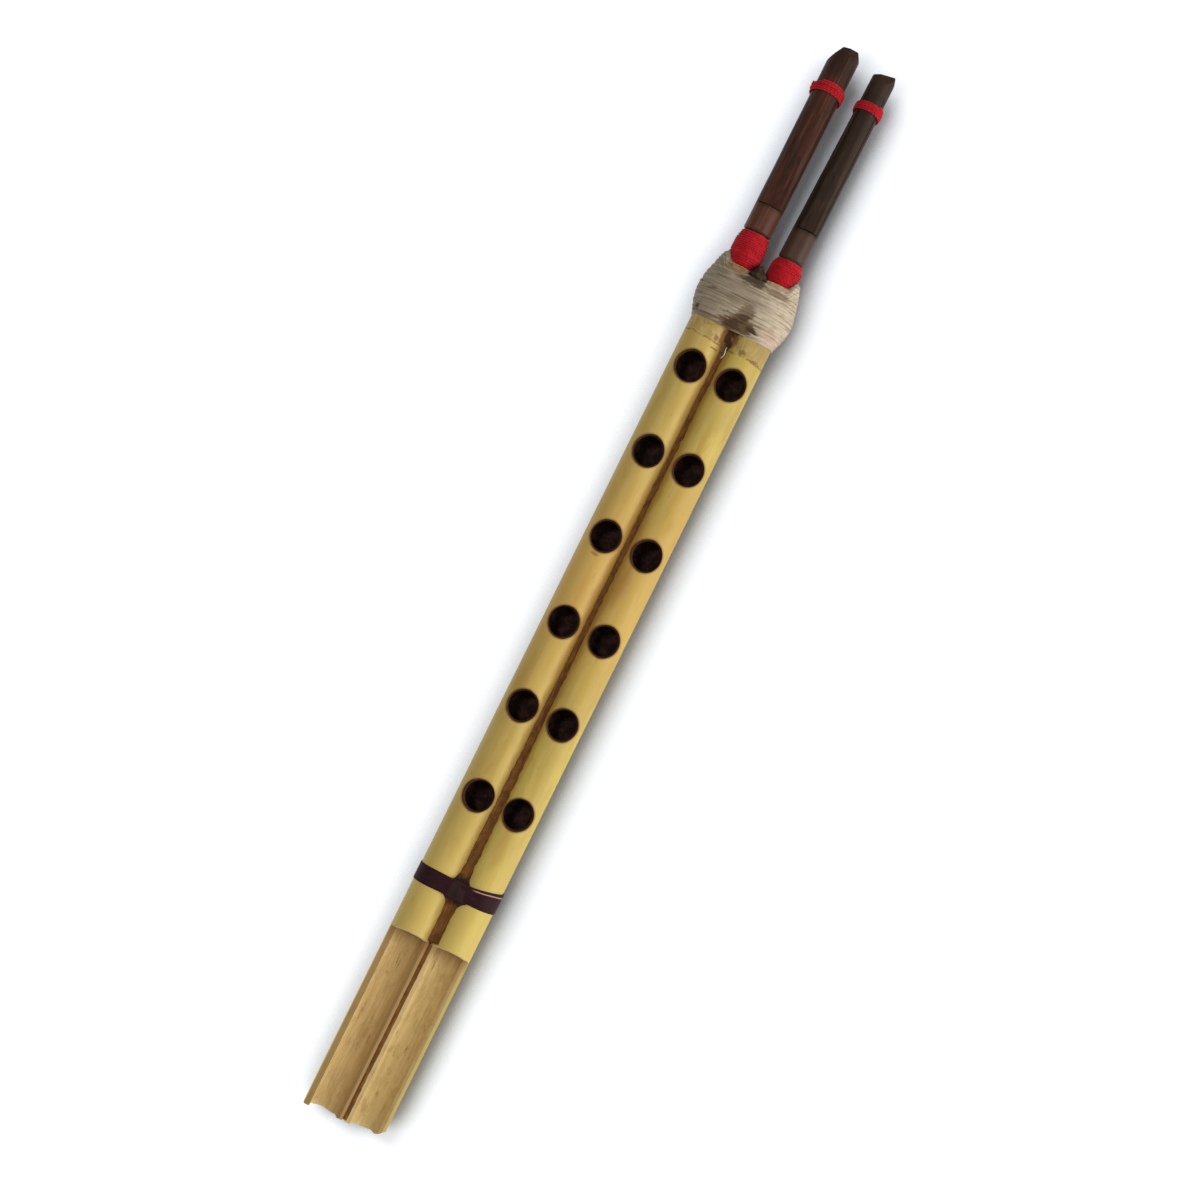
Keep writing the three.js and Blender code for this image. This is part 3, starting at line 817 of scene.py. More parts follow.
def scoop_cutter(side):
    reach = PIPE_R + CUTTER_MARGIN
    lean = SCOOP_RAKE * (reach - SCOOP_HEIGHT) / (PIPE_R - SCOOP_HEIGHT)

    def corner_at(x, y, z):
        top = SCOOP_LENGTH + (lean if z > 0 else 0)
        return (PIPE_X[side] + x * reach, FOOT_Y + (top if y > 0 else -CUTTER_MARGIN),
                AXIS_Z + (reach if z > 0 else SCOOP_HEIGHT))

    return mesh_from(shaped_block(corner_at), "scoop cutter")


for side in SIDES:
    cutters = [hole_cutter(side, place, drift) for place, drift in zip(HOLE_PLACES, HOLE_DRIFTS[side])]
    mesh = carved(pipe_blank(side), [*cutters, scoop_cutter(side)])
    hand_over(f"{side}_cane_pipe", mesh, PIPE_CANE[side], PIPES, "cane", f"{side}_pipe", smooth_angle=40)

# %% [markdown]
# The resin was run hot along the valleys, so its surface is hollow and its edges
# wander. At the band it was heaped up and drawn out over the tape, which gives
# the dark star at the crossing. Below the scoop only a thin line is left, flush
# with the cut rims. A poured fluid would be slow to simulate, so it is a row of
# sections instead. Front and back are the same strip, mirrored.

# %% Resin
STAR_REACH = {(-1, "below"): 2.1, (1, "below"): 3.5, (-1, "above"): 1.8, (1, "above"): 2.4}
STAR_FADE = 1.3 * MM
RESIN_STEPS = 12
RESIN_START, RESIN_END = mm(0.8, 224.2)
NARROWED = 150 * MM
FLARE_LOW, FLARE_HIGH = mm(216, 224)
FINE_PITCH, PITCH = mm(0.15, 0.45)
# half widths to each side of the seam, in millimetres: in front at the scoop and at the head,
# behind, and inside the scoop; then how high the resin lies over the tape
FRONT_WIDTHS = {-1: (1.0, 0.6), 1: (2.0, 0.82)}
BACK_WIDTH = 0.9
SCOOP_WIDTHS = {-1: 0.3, 1: 0.95}
TAPE_LIFTS = {-1: 0.18, 1: 0.33}


def resin_material():
    material, coords = new_material("dark resin")
    along = xyz(coords)["Y"]
    clouds = grain(coords, (900, 260, 900), 5.0, 0.65, 0.5)
    streaks = grain(coords, (2600, 240, 2600), 4.0)
    smudge = grain(coords, (420, 420, 420), 5.0, 0.6)
    colour = blend(soft_step(clouds, 0.35, 0.65), rgb(92, 54, 20), rgb(122, 80, 34))
    colour = coat(colour, rgb(140, 96, 46), soft_step(streaks, 0.5, 0.75))
    from_band = times_plus(minus(clouds, 0.5), 2.4 * MM, far_from(along, BAND_CENTRE))
    heap = soft_step(from_band, 5.0 * MM, 2.4 * MM)
    colour = coat(colour, blend(smudge, rgb(38, 21, 20), rgb(50, 31, 28)), heap)
    ragged = times_plus(smudge, 3 * MM, along)
    head = soft_step(ragged, FOOT_Y + 217 * MM, FOOT_Y + 220 * MM, 0.0, 0.8)
    head_tone = blend(soft_step(smudge, 0.42, 0.56), rgb(60, 38, 20), rgb(124, 94, 58))
    colour = coat(colour, head_tone, head)
    rough = soft_step(clouds, 0.3, 0.7, 0.6, 0.75)
    surface(colour, rough, calc("ADD", clouds, streaks), 0.45, 0.15, Specular_IOR_Level=0.16)
    return material


def resin_section(place, front, at):
    """Points across the resin as it is at one place, set down at another, hollow side up."""
    from_band = max(0.0, abs(FOOT_Y + place - BAND_CENTRE) - BAND_HALF)
    star = math.exp(-from_band / STAR_FADE) if front else 0.0
    over_tape = smooth(from_band, 0.35 * MM, 0.0) if front else 0.0
    past_band = smooth(FOOT_Y + place, BAND_LOW, BAND_HIGH)
    under_skin = smooth(place, SCOOP_LENGTH + 0.1 * MM, SCOOP_LENGTH + 1.2 * MM)
    towards_head = smooth(place, SCOOP_LENGTH, NARROWED)
    to_binding = smooth(place, FLARE_LOW, FLARE_HIGH) if front else 0.0
    edges = []
    for side in (-1, 1):
        base = mix(*FRONT_WIDTHS[side], towards_head) if front else BACK_WIDTH
        ragged = waver(place * 130, side * 7.3, 2 if front else 5)
        ragged += 1.1 * waver(place * 620, side * 3.1, 8)
        half = (base + (0.2 + 0.35 * to_binding) * ragged + 0.6 * to_binding) * MM
        half = mix((SCOOP_WIDTHS[side] + 0.1 * ragged) * MM, half, under_skin)
        star_half = mix(STAR_REACH[side, "below"], STAR_REACH[side, "above"], past_band) + 0.5 * ragged
        half = mix(half, star_half * MM, star)
        on_cane = math.sqrt(PIPE_R ** 2 - (HALF_SPACING - half) ** 2)
        height = mix(SCOOP_HEIGHT, on_cane, under_skin)
        edges.append((side * half, mix(height, PIPE_R + TAPE_LIFTS[side] * MM, over_tape)))
    (x0, z0), (x1, z1) = edges
    hollow = mix(0.12 * MM, -0.3 * (x1 - x0) / 2, under_skin)
    sag = mix(hollow, 0.1 * MM, star)
    top = []
    for t in shares(RESIN_STEPS):
        across = mix(x0, x1, t)
        dome = 1 - (2 * t - 1) ** 2
        ripple = 0.08 * MM * waver(across * 700, place * 420, 3)
        top.append((across, mix(z0, z1, t) + sag * dome + ripple * dome - 0.03 * MM * (1 - dome)))
    low = min(z0, z1) - 0.5 * MM
    depth = min(1.0 * MM, low)
    bottom = [(0.55 * x1, mix(low, depth, 0.4)), (0.1 * MM, depth - 0.3 * MM),
              (-0.1 * MM, depth - 0.3 * MM), (0.55 * x0, mix(low, depth, 0.4))]
    flip = 1 if front else -1
    return [Vector((flip * x, FOOT_Y + at, AXIS_Z + flip * z)) for x, z in top + bottom]


def resin_strip(front):
    places = [RESIN_START]
    while places[-1] < RESIN_END:
        near_band = abs(FOOT_Y + places[-1] - BAND_CENTRE) < 6 * MM
        near_scoop = abs(places[-1] - SCOOP_LENGTH) < 2 * MM
        places.append(places[-1] + (FINE_PITCH if front and (near_band or near_scoop) else PITCH))
    shallow = 0 if front else SCOOP_LENGTH + 2 * MM
    return mesh_from(lofted([resin_section(max(place, shallow), front, place) for place in places]), "resin")


RESIN = resin_material()
for name in ("front", "back"):
    hand_over(f"{name}_resin", resin_strip(name == "front"), RESIN, PIPES, "resin", f"{name}_seam")

# %% [markdown]
# The band is a strip of dark tape, pulled tight round both pipes. It is lapped:
# the end lies over the first layer on the right, a little askew, so its upper
# edge climbs, and a thin pale line is painted along it as that edge's highlight.
# A plain sleeve would have no lap, so both layers are one profile with soft
# edges, carried round the pipes.

# %% Band
TAPE_SEAT = PIPE_R + 0.04 * MM
LAP_SEAT = TAPE_SEAT + 0.17 * MM
TAPE_THICK, LAP_THICK = mm(0.16, 0.14)
BAND_STEPS, LAP_STEPS = 180, 80
LAP_START, LAP_END = 0.13, 0.5
LAP_CLIMB = 0.75 * MM
# the tape's section: a share of its width, and a share of its thickness
TAPE_SECTION = [(0, 0), (0, 0.5), (0.02, 0.85), (0.06, 1), (0.5, 1), (0.94, 1), (0.98, 0.85), (1, 0.5),
                (1, 0), (0.5, 0)]


def tape_material():
    material, coords = new_material("maroon tape")
    stretch = grain(coords, (160, 2400, 160), 4.0)
    scuff = soft_step(grain(coords, (700, 900, 700), 5.0, 0.7), 0.55, 0.75)
    colour = blend(stretch, rgb(32, 10, 14), rgb(50, 17, 25))
    colour = coat(colour, rgb(78, 34, 48), scuff, 0.45)
    place = xyz(coords)
    climb = times(soft_step(place["X"], 3 * MM, 11 * MM), LAP_CLIMB)
    ragged = times(minus(scuff, 0.5), 0.12 * MM)
    from_edge = minus(calc("ADD", place["Y"], ragged), climb)
    from_edge = far_from(from_edge, BAND_HIGH - 0.5 * MM)
    # a pale line painted near the climbing edge of the lap, on the front only, as the highlight of that edge
    edge_share = times(soft_step(from_edge, 0.22 * MM, 0.08 * MM),
                 soft_step(place["X"], 3.2 * MM, 5.2 * MM, 0.0, 0.9))
    front = soft_step(place["Z"], AXIS_Z, AXIS_Z + 2 * MM)
    colour = coat(colour, rgb(188, 140, 126), edge_share, front)
    rough = soft_step(scuff, 0.0, 1.0, 0.6, 0.75)
    surface(colour, rough, stretch, 0.3, 0.06, Specular_IOR_Level=0.12)
    return material


def round_both(share, radius):
    """A point and its outward direction on the outline round both pipes, from the back's middle."""
    arc, flat = math.pi * radius, 2 * HALF_SPACING
    along = (share % 0.5) * 2 * (arc + flat) - flat / 2
    angle = min(math.pi, max(0.0, along / radius))
    out = Vector((math.sin(angle), 0, -math.cos(angle)))
    point = Vector((HALF_SPACING, 0, 0)) + radius * out
    point.x += min(0.0, along) - max(0.0, along - arc)
    return (-point, -out) if share % 1.0 >= 0.5 else (point, out)


def tape_layer(start, end, steps, seat, thick, low_edge, high_edge):
    sections = []
    for done in shares(steps):
        share = mix(start, end, done)
        low, high = low_edge(share), high_edge(share)
        outline = []
        for along, lift in TAPE_SECTION:
            point, out = round_both(share, seat)
            wave = 0.02 * MM * waver(share * 40, along * 3, thick * 4e4)
            place = point + out * (lift * thick + wave * lift)
            outline.append(place + Vector((0, mix(low, high, along), AXIS_Z)))
        sections.append(outline)
    return mesh_from(lofted(sections), "tape")


def band_low(share):
    return BAND_LOW + 0.25 * MM * math.sin(2 * math.pi * share - 0.6)


def band_high(share):
    return BAND_HIGH + 0.12 * MM * waver(share * 9, 0, 1)


def lap_low(share):
    return band_low(share) + 0.5 * MM * smooth(share, 0.5, 0.2)


def lap_high(share):
    return band_high(share) + 1.4 * MM * smooth(share, 0.49, 0.27)


TAPE = tape_material()
TAPE_LAYERS = {
    "tape_band": tape_layer(0.0, 1.0, BAND_STEPS, TAPE_SEAT, TAPE_THICK, band_low, band_high),
    "tape_lap": tape_layer(LAP_START, LAP_END, LAP_STEPS, LAP_SEAT, LAP_THICK, lap_low, lap_high),
}
for name, mesh in TAPE_LAYERS.items():
    hand_over(name, mesh, TAPE, PIPES, "dark_band", "foot_band", smooth_angle=50)

# %% [markdown]
# The binding has a soft body and a skin of thread. The body is the wax that the
# inner layers soaked up. It swells over the heads of the pipes and slopes in over
# their mouths, higher at the two outer sides than in front. It could be sculpted,
# but one row of sections round both pipes keeps its sizes in a short table, which
# says how far each section stands off the pipes' axes.

# %% Body of the binding
# each section, in millimetres: its place from the foot, and how far it stands off the axes
BINDING_SHAPE = [
    (223.8, 5.3), (223.6, 5.55), (224.0, 5.8), (225.4, 6.2), (227.6, 6.85), (230.0, 7.25),
    (232.0, 7.4), (234.0, 7.25), (235.8, 6.8), (237.1, 6.3), (237.9, 5.85), (238.2, 5.45), (237.9, 4.8),
]
SHOULDER_RISE = 4.0 * MM
SHOULDER_WAIST = 1.3 * MM
SHOULDER_ACROSS = (HALF_SPACING + 2.0 * MM, HALF_SPACING + 5.4 * MM)
SHOULDER_ALONG = mm(231.5, 237.6)
BODY_SECTIONS = 72
BODY_POINTS = 180


def binding_profile(length):
    """Place and radius at a share of the way along the body's profile."""
    spot = length * (len(BINDING_SHAPE) - 1)
    index = min(int(spot), len(BINDING_SHAPE) - 2)
    (y0, r0), (y1, r1) = BINDING_SHAPE[index:index + 2]
    share = spot - index
    return mix(y0, y1, share) * MM, mix(r0, r1, share) * MM


def binding_point(share, place, radius):
    """A point of the binding; its outer sides climb over the mouths and draw in there."""
    point, out = round_both(share, PIPE_R)
    outward = smooth(abs(point.x), *SHOULDER_ACROSS) * smooth(place, *SHOULDER_ALONG)
    bump = 0.2 * waver(point.x * 260, place * 420, point.z * 260)
    bump += 0.1 * waver(point.x * 900, place * 1500, point.z * 900)
    reach = radius - PIPE_R + bump * MM - SHOULDER_WAIST * outward
    return point + out * reach + Vector((0, FOOT_Y + place + SHOULDER_RISE * outward, AXIS_Z))


def binding_body():
    sections = []
    for length in shares(BODY_SECTIONS):
        place, radius = binding_profile(length)
        sections.append([binding_point(i / BODY_POINTS, place, radius) for i in range(BODY_POINTS)])
    return mesh_from(lofted(sections), "binding body")


print("binding profile:", [round(size / MM, 2) for size in binding_profile(0.5)])

# %% [markdown]
# Waxed thread is grey-beige. It is painted paler to the right and darker to the
# left, as the light from the right falls on the binding, and it is smeared with
# brown wax about the crotch of the pipes. The smears are ragged patches at listed
# places, and their noise follows the turns. They could be painted by hand, but a
# table of patches stays easy to change. Body and thread share the finish, and
# the body is a little darker.

# %% Finish of the binding
# each smear, in millimetres: its centre, its half sizes, how ragged it is, its tone and strength
SMEARS = [
    ((0.6, 225.6, 6), (4.8, 2.6, 5), 1.5, (96, 72, 46), 0.95),
    ((1.0, 228.4, 6), (2.2, 2.6, 5), 1.5, (112, 88, 60), 0.8),
    ((4.2, 225.4, 6), (1.6, 0.6, 4), 1.6, (62, 44, 26), 0.9),
    ((-0.6, 225.0, 6), (1.8, 1.4, 5), 1.8, (70, 46, 26), 0.8),
    ((1.2, 227.6, 6), (1.4, 0.9, 5), 1.6, (72, 52, 32), 0.8),
    ((-1.6, 231.9, 7), (3.8, 0.3, 4), 0.9, (98, 76, 52), 0.8),
    ((-9.2, 231.2, 3), (1.3, 0.6, 4), 1.5, (86, 76, 56), 0.8),
    ((-7.0, 224.8, 5), (3.4, 0.22, 5), 0.7, (112, 74, 50), 0.8),
    ((-10.8, 225.6, 1), (0.7, 0.9, 5), 1.6, (46, 36, 26), 0.9),
    ((-0.7, 237.3, 6), (3.6, 1.6, 6), 1.4, (60, 44, 28), 0.95),
    ((-5.8, 237.9, 6), (4.0, 0.7, 5), 1.5, (136, 106, 74), 0.8),
    ((9.0, 226.0, 4), (2.4, 2.0, 5), 1.6, (198, 160, 142), 0.4),
    ((6.4, 236.6, 6), (3.6, 1.1, 5), 1.2, (128, 100, 74), 0.75),
    # this broad patch darkens the middle of the binding's front
    ((-1.5, 232.5, 7), (5.5, 3.2, 5), 1.2, (126, 110, 90), 0.45),
]
ALONG_THREAD = (260, 1100, 260)


def binding_material(name, darker):
    material, coords = new_material(name)
    turns = grain(coords, (90, 1500, 90), 5.0, 0.7, 0.5)
    clouds = grain(coords, (330, 420, 330), 5.0, 0.65)
    # painted light: the thread is greyer and darker to the left and paler to the right, as the light from
    # the right falls on it
    painted_right_light = soft_step(xyz(coords)["X"], -9 * MM, 9 * MM)
    plain = blend(painted_right_light, rgb(158, 144, 122), rgb(204, 188, 164))
    shade = blend(painted_right_light, rgb(122, 106, 84), rgb(156, 136, 110))
    colour = blend(soft_step(turns, 0.34, 0.6), shade, plain)
    colour = coat(colour, rgb(222, 208, 186), soft_step(turns, 0.62, 0.74, 0.0, 0.4))
    colour = coat(colour, rgb(136, 112, 84), soft_step(clouds, 0.52, 0.72, 0.0, 0.5))
    for centre, half, ragged, tone, strength in SMEARS:
        spot = patch(coords, on_pipes(*centre), mm(*half), ragged, ALONG_THREAD, 0.7)
        colour = coat(colour, rgb(*tone), spot, strength)
    colour = blend(darker, colour, rgb(120, 104, 82), "MULTIPLY")
    surface(colour, 0.82, times_plus(clouds, 0.5, turns), 0.5, 0.12, Sheen_Weight=0.12, Sheen_Roughness=0.5)
    return material


SOAKED = binding_material("wax in the winding", 0.12)
WINDING = binding_material("waxed thread", 0.0)
hand_over("binding_body", binding_body(), SOAKED, PIPES, "dark_wax",
          "binding_core", "left_shoulder_wax", "right_shoulder_wax")

# %% [markdown]
# The thread itself is one long strand that goes up the heads, down again and up a
# second time, each pass crossing the last at a slight angle. It is laid on the
# body's surface and half sunk in the wax, and its thickness varies a little, so
# some turns stand out and others almost vanish. Separate rings would be simpler,
# but they would never cross.

# %% Thread of the binding
THREAD_R = 0.25 * MM
TURN_STEPS = 96
WINDING_LOW, WINDING_HIGH = 223.9, 237.8
# each pass, in millimetres: its first and last place, its turns, and how proud it lies
THREAD_PASSES = [
    (WINDING_LOW, WINDING_HIGH, 30, -0.08),
    (WINDING_HIGH, WINDING_LOW + 0.6, 21, -0.02),
    (WINDING_LOW + 0.6, WINDING_HIGH, 15, 0.03),
]


def body_radius(place):
    for (y0, r0), (y1, r1) in zip(BINDING_SHAPE[1:], BINDING_SHAPE[2:-1]):
        if y0 * MM <= place <= y1 * MM:
            return mix(r0, r1, (place / MM - y0) / (y1 - y0)) * MM
    return BINDING_SHAPE[1][1] * MM


def binding_thread():
    path = []
    for number, (first, last, turns, rise) in enumerate(THREAD_PASSES):
        for step in range(turns * TURN_STEPS):
            turn_now = step / TURN_STEPS
            drift = 0.45 * waver(turn_now * 0.6, number * 5, 2)
            tilt = 0.7 * waver(turn_now * 0.23, number * 9, 7)
            place = mix(first, last, turn_now / turns) + drift
            place += tilt * math.sin(2 * math.pi * turn_now + number * 2)
            place = min(WINDING_HIGH, max(WINDING_LOW, place)) * MM
            sunk = 0.12 * waver(turn_now * 3.7, number * 4, 1)
            radius = body_radius(place) + (rise + sunk) * MM
            thick = 0.85 + 0.35 * waver(turn_now * 1.9, number, 5)
            path.append((binding_point(turn_now, place, radius), thick))
    return strand([path], THREAD_R)


hand_over("binding_strand", binding_thread(), WINDING, PIPES, "waxed_thread", "binding_thread")

# %% [markdown]
# A lump of dark wax fills the crotch between the two red packings and runs a
# little way down over the front of the binding. It could be sculpted by hand.
# Here it starts as a round ball, is squeezed, and is then pushed about by noise,
# as wax is by a thumb, so it comes out the same each time.

# %% Wax in the crotch
WAX_TONES = (rgb(36, 25, 16), rgb(64, 47, 31))
# the lump's middle and half sizes, in millimetres
LUMP_X, LUMP_Y = -0.4, 239.2
LUMP_WIDE, LUMP_LONG, LUMP_HIGH = 3.7, 2.8, 6.2


def crotch_wax():
    bm = bmesh.new()
    bmesh.ops.create_icosphere(bm, subdivisions=5, radius=1)
    for vert in bm.verts:
        spot = vert.co * 1.6
        lumps = 1 + 0.2 * noise.noise(spot) + 0.09 * noise.noise(spot * 3.2)
        x, y, z = vert.co * lumps
        waist = mix(0.5, 1.0, smooth(abs(z), 0.2, 0.9)) * mix(1.0, 0.55, smooth(y, -0.3, 0.9))
        vert.co = on_pipes(LUMP_X + x * waist * LUMP_WIDE, LUMP_Y + y * LUMP_LONG, z * LUMP_HIGH)
    return mesh_from(bm, "crotch wax")


def wax_material():
    material, coords = new_material("dark wax")
    clouds = grain(coords, (500, 500, 500), 5.0, 0.6, 0.4)
    colour = blend(soft_step(clouds, 0.35, 0.65), *WAX_TONES)
    surface(colour, soft_step(clouds, 0.3, 0.7, 0.55, 0.75), clouds, 0.5, 0.2)
    return material


hand_over("crotch_lump", crotch_wax(), wax_material(), PIPES, "dark_wax", "crotch_wax")

# %% [markdown]
# A reed is made in its own frame, with its axis on Y and the mouth of the pipe at
# zero. That is easier than cutting it where it leans. The finished piece is then
# moved as one from the bench to its pipe, a little off the pipe's axis and turned
# a little outwards, as the player pushed it in.

# %% Reed frames
# sizes in millimetres, the lean in degrees
REEDS = {
    "left": dict(foot=3.8, head=3.85, length=61.5, packing_top=8.9, slit=16.3, root=53.5, bridle=50.4,
                 offset=0.15, lean=0.4),
    "right": dict(foot=3.55, head=3.1, length=59.9, packing_top=6.3, slit=14.8, root=53.5, bridle=50.9,
                  offset=-0.3, lean=1.0),
}


def reed_radius(side, place):
    reed = REEDS[side]
    share = (place / MM - reed["packing_top"]) / (reed["length"] - reed["packing_top"])
    return mix(reed["foot"], reed["head"], share) * MM


def fit_reed(side, part, mesh, material, body, slot, node=None, smooth_angle=60):
    """Moves a mesh from the reed's own frame to its pipe, and hands it over."""
    place = Vector((PIPE_X[side] + REEDS[side]["offset"] * MM, MOUTH_Y, AXIS_Z))
    lean = math.radians(-REEDS[side]["lean"])
    mesh.transform(Matrix.Translation(place) @ Matrix.Rotation(lean, 4, "Z"))
    nodes = [f"{side}_{node}"] if node else []
    hand_over(f"{side}_{part}", mesh, material, f"{side}_{body}", slot, *nodes, smooth_angle=smooth_angle)


for side in SIDES:
    low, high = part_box(f"{side}_reed_tube")
    print(side, "reed spans", [round(v / MM, 1) for v in (*low, *high)])

# %% [markdown]
# Each reed is a thin cane tube, closed at the tip by its own node. It is turned
# with its bore open to the mouth, roughened a little, slotted for the tongue, and
# then whittled: every cut at the tip is one flat stroke of a knife, given by its
# direction round the tube, where it starts, and how deep it bites at the end.

# %% Reed tubes
TENON_R = 3.0 * MM
TENON_FOOT = -10 * MM
REED_BORE_R = 2.15 * MM
REED_STEPS = 96
REED_RINGS = 60
SEAT_HEIGHT = 1.85 * MM
SLOT_HALF = 6 * MM
NODE_WALL = 3.0 * MM
# each stroke: its direction in degrees, then its length and bite in millimetres
KNIFE_CUTS = {
    "left": [(180, 4.8, 2.5), (5, 2.1, 1.2), (62, 2.7, 1.3), (118, 3.4, 1.5), (238, 3.0, 1.5),
             (300, 2.5, 1.3)],
    "right": [(-5, 2.3, 0.95), (80, 2.6, 1.1), (140, 1.6, 0.7), (215, 2.2, 0.9), (285, 2.6, 1.0)],
}
TIP_SLOPE = {"left": 5.7, "right": 14.7}


def knife(side, direction, length, bite):
    """A block whose one face is a knife stroke; everything outside that face comes off."""
    start = (REEDS[side]["length"] - length) * MM
    bm = block(mm(0, -4, -6), mm(10, 16, 6))
    turn(bm, math.atan2(bite, length), "Z")
    shift(bm, (reed_radius(side, start), start, 0))
    turn(bm, math.radians(-direction), "Y")
    return mesh_from(bm, "knife")


def tip_saw(side):
    slope = math.radians(TIP_SLOPE[side])
    bm = block(mm(-6, 0, -6), mm(6, 12, 6))
    turn(bm, slope, "Z")
    shift(bm, (0, REEDS[side]["length"] * MM - 2.2 * MM * math.tan(slope), 0))
    return mesh_from(bm, "tip saw")


def reed_blank(side):
    reed = REEDS[side]
    top, neck = reed["length"] * MM, (reed["packing_top"] + 0.1) * MM
    ceiling = top - NODE_WALL
    neck_r = reed_radius(side, neck)
    profile = [
        (0, ceiling), (REED_BORE_R * 0.7, ceiling - 0.4 * MM), (REED_BORE_R, ceiling - 1.2 * MM),
        (REED_BORE_R, TENON_FOOT), (TENON_R, TENON_FOOT), (TENON_R, neck),
        (neck_r - 0.15 * MM, neck + 0.3 * MM), (neck_r, neck + 0.6 * MM),
        (reed_radius(side, top), top), (0, top),
    ]
    bm = spun(profile, REED_STEPS, rings=REED_RINGS)
    for vert in bm.verts:
        arm = Vector((vert.co.x, 0, vert.co.z))
        if arm.length > TENON_R + 0.1 * MM:
            swell = waver(arm.x * 500, vert.co.y * 90, arm.z * 500 + 20 * SIDES[side])
            vert.co += arm.normalized() * 0.06 * MM * (swell - 0.3)
    return mesh_from(bm, "reed")


def reed_tube(side):
    reed = REEDS[side]
    low = (-SLOT_HALF, reed["slit"] * MM, SEAT_HEIGHT)
    slot = mesh_from(block(low, (SLOT_HALF, reed["root"] * MM, SLOT_HALF)), "slot")
    strokes = [knife(side, *cut) for cut in KNIFE_CUTS[side]]
    return carved(reed_blank(side), [slot, tip_saw(side), *strokes])


print("strokes of the knife:", {side: len(cuts) for side, cuts in KNIFE_CUTS.items()})

# %% [markdown]
# The reeds are old cane, dark from handling and smoke. Streaks and dull blotches
# run along them, the tips are stained, and the short neck below the slit, which
# the thumb rubs, is a little lighter and smoother. The grain is the pipes' own
# group again, under darker coats.

# %% Cane of the reeds
REED_TONES = {
    "left": ((48, 25, 16), (74, 40, 27), (114, 66, 44), (42, 28, 21)),
    "right": ((36, 25, 18), (58, 41, 31), (104, 72, 54), (58, 41, 31)),
}
STAINED_FROM, STAINED_TO = MOUTH_Y + 52 * MM, MOUTH_Y + 55 * MM


def reed_material(side):
    dark, mid, light, tip = (rgb(*tone) for tone in REED_TONES[side])
    material, coords = new_material(f"{side} reed cane")
    cane = from_group(CANE_GRAIN, {"Vector": coords})
    along = xyz(coords)["Y"]
    slit = MOUTH_Y + REEDS[side]["slit"] * MM
    colour = blend(cane["Fibre"], dark, mid)
    streaks = soft_step(grain(coords, (1500, 26, 1500), 4.0, 0.6), 0.52, 0.7)
    colour = coat(colour, light, streaks, 0.7)
    colour = coat(colour, dark, cane["Mottle"], 0.2)
    smoked = soft_step(grain(coords, (420, 110, 420), 6.0, 0.7, 0.8), 0.48, 0.64)
    colour = coat(colour, rgb(30, 20, 15), smoked, 0.5)
    below = soft_step(along, slit + 0.5 * MM, slit - 1.5 * MM)
    colour = coat(colour, light, below, 0.3)
    colour = coat(colour, tip, soft_step(along, STAINED_FROM, STAINED_TO), 0.6)
    rough = times_plus(below, -0.08, soft_step(cane["Mottle"], 0.0, 1.0, 0.4, 0.54))
    polish = soft_step(below, 0.0, 1.0, 0.1, 0.15)
    surface(colour, rough, calc("ADD", cane["Fibre"], streaks), 0.3, 0.08, Specular_IOR_Level=polish)
    return material


REED_CANE = {side: reed_material(side) for side in SIDES}
for side in SIDES:
    mesh = reed_tube(side)
    fit_reed(side, "reed_cane", mesh, REED_CANE[side], "reed", f"{side}_reed_cane", "reed_tube", 28)

# %% [markdown]
# The tongue is the slice of cane that covers the slot. It is cut from a copy of
# the same blank by a wedge, so that its outside matches the tube at its root and
# it is shaved thin towards its free end, next to the slit.

# %% Reed tongues
TONGUE_GAP = 0.25 * MM
TONGUE_TIP = 0.75 * MM
SLIT_GAP = 0.35
ROOT_GAP = 0.04 * MM


def tongue_wedge(side):
    reed = REEDS[side]
    low = SEAT_HEIGHT + TONGUE_GAP
    first, last = (reed["slit"] + SLIT_GAP) * MM, reed["root"] * MM - ROOT_GAP
    tops = {first: low + TONGUE_TIP, last: reed_radius(side, last) + 0.2 * MM}

    def corner_at(x, y, z):
        place = last if y > 0 else first
        return (x * SLOT_HALF, place, tops[place] if z > 0 else low)

    return mesh_from(shaped_block(corner_at), "wedge")


for side in SIDES:
    mesh = carved(reed_blank(side), [tongue_wedge(side)], "INTERSECT")
    fit_reed(side, "tongue_cane", mesh, REED_CANE[side], "tongue", f"{side}_reed_cane", "reed_tongue", 28)

# %% [markdown]
# The red thread is two plies twisted together. A bump could hint at the twist,
# but the edge of the packing would stay straight, so the plies are real. Any
# winding of it is a round path that rises as it turns.

# %% Red thread
PLY_R = 0.15 * MM
PLY_TWIST = 2.1 * MM


def red_material():
    material, coords = new_material("red cotton")
    lint = grain(coords, (5200, 5200, 5200), 4.0, 0.7)
    dye = grain(coords, (520, 700, 520), 4.0, 0.6)
    colour = blend(soft_step(dye, 0.35, 0.65), rgb(170, 12, 25), rgb(196, 19, 33))
    colour = coat(colour, rgb(218, 48, 54), soft_step(lint, 0.55, 0.8, 0.0, 0.15))
    surface(colour, 0.85, lint, 0.4, 0.05, Sheen_Weight=0.1, Sheen_Roughness=0.4)
    return material


def two_ply(path):
    """Two plies twisted round a path of (point, outward) pairs."""
    plies = ([], [])
    travelled = 0.0
    for index, (point, out) in enumerate(path):
        if index:
            travelled += (point - path[index - 1][0]).length
        ahead = path[min(index + 1, len(path) - 1)][0] - path[max(index - 1, 0)][0]
        side_way = ahead.normalized().cross(out).normalized()
        angle = 2 * math.pi * travelled / PLY_TWIST
        arm = (out * math.cos(angle) + side_way * math.sin(angle)) * PLY_R * 0.75
        plies[0].append(point + arm)
        plies[1].append(point - arm)
    return plies


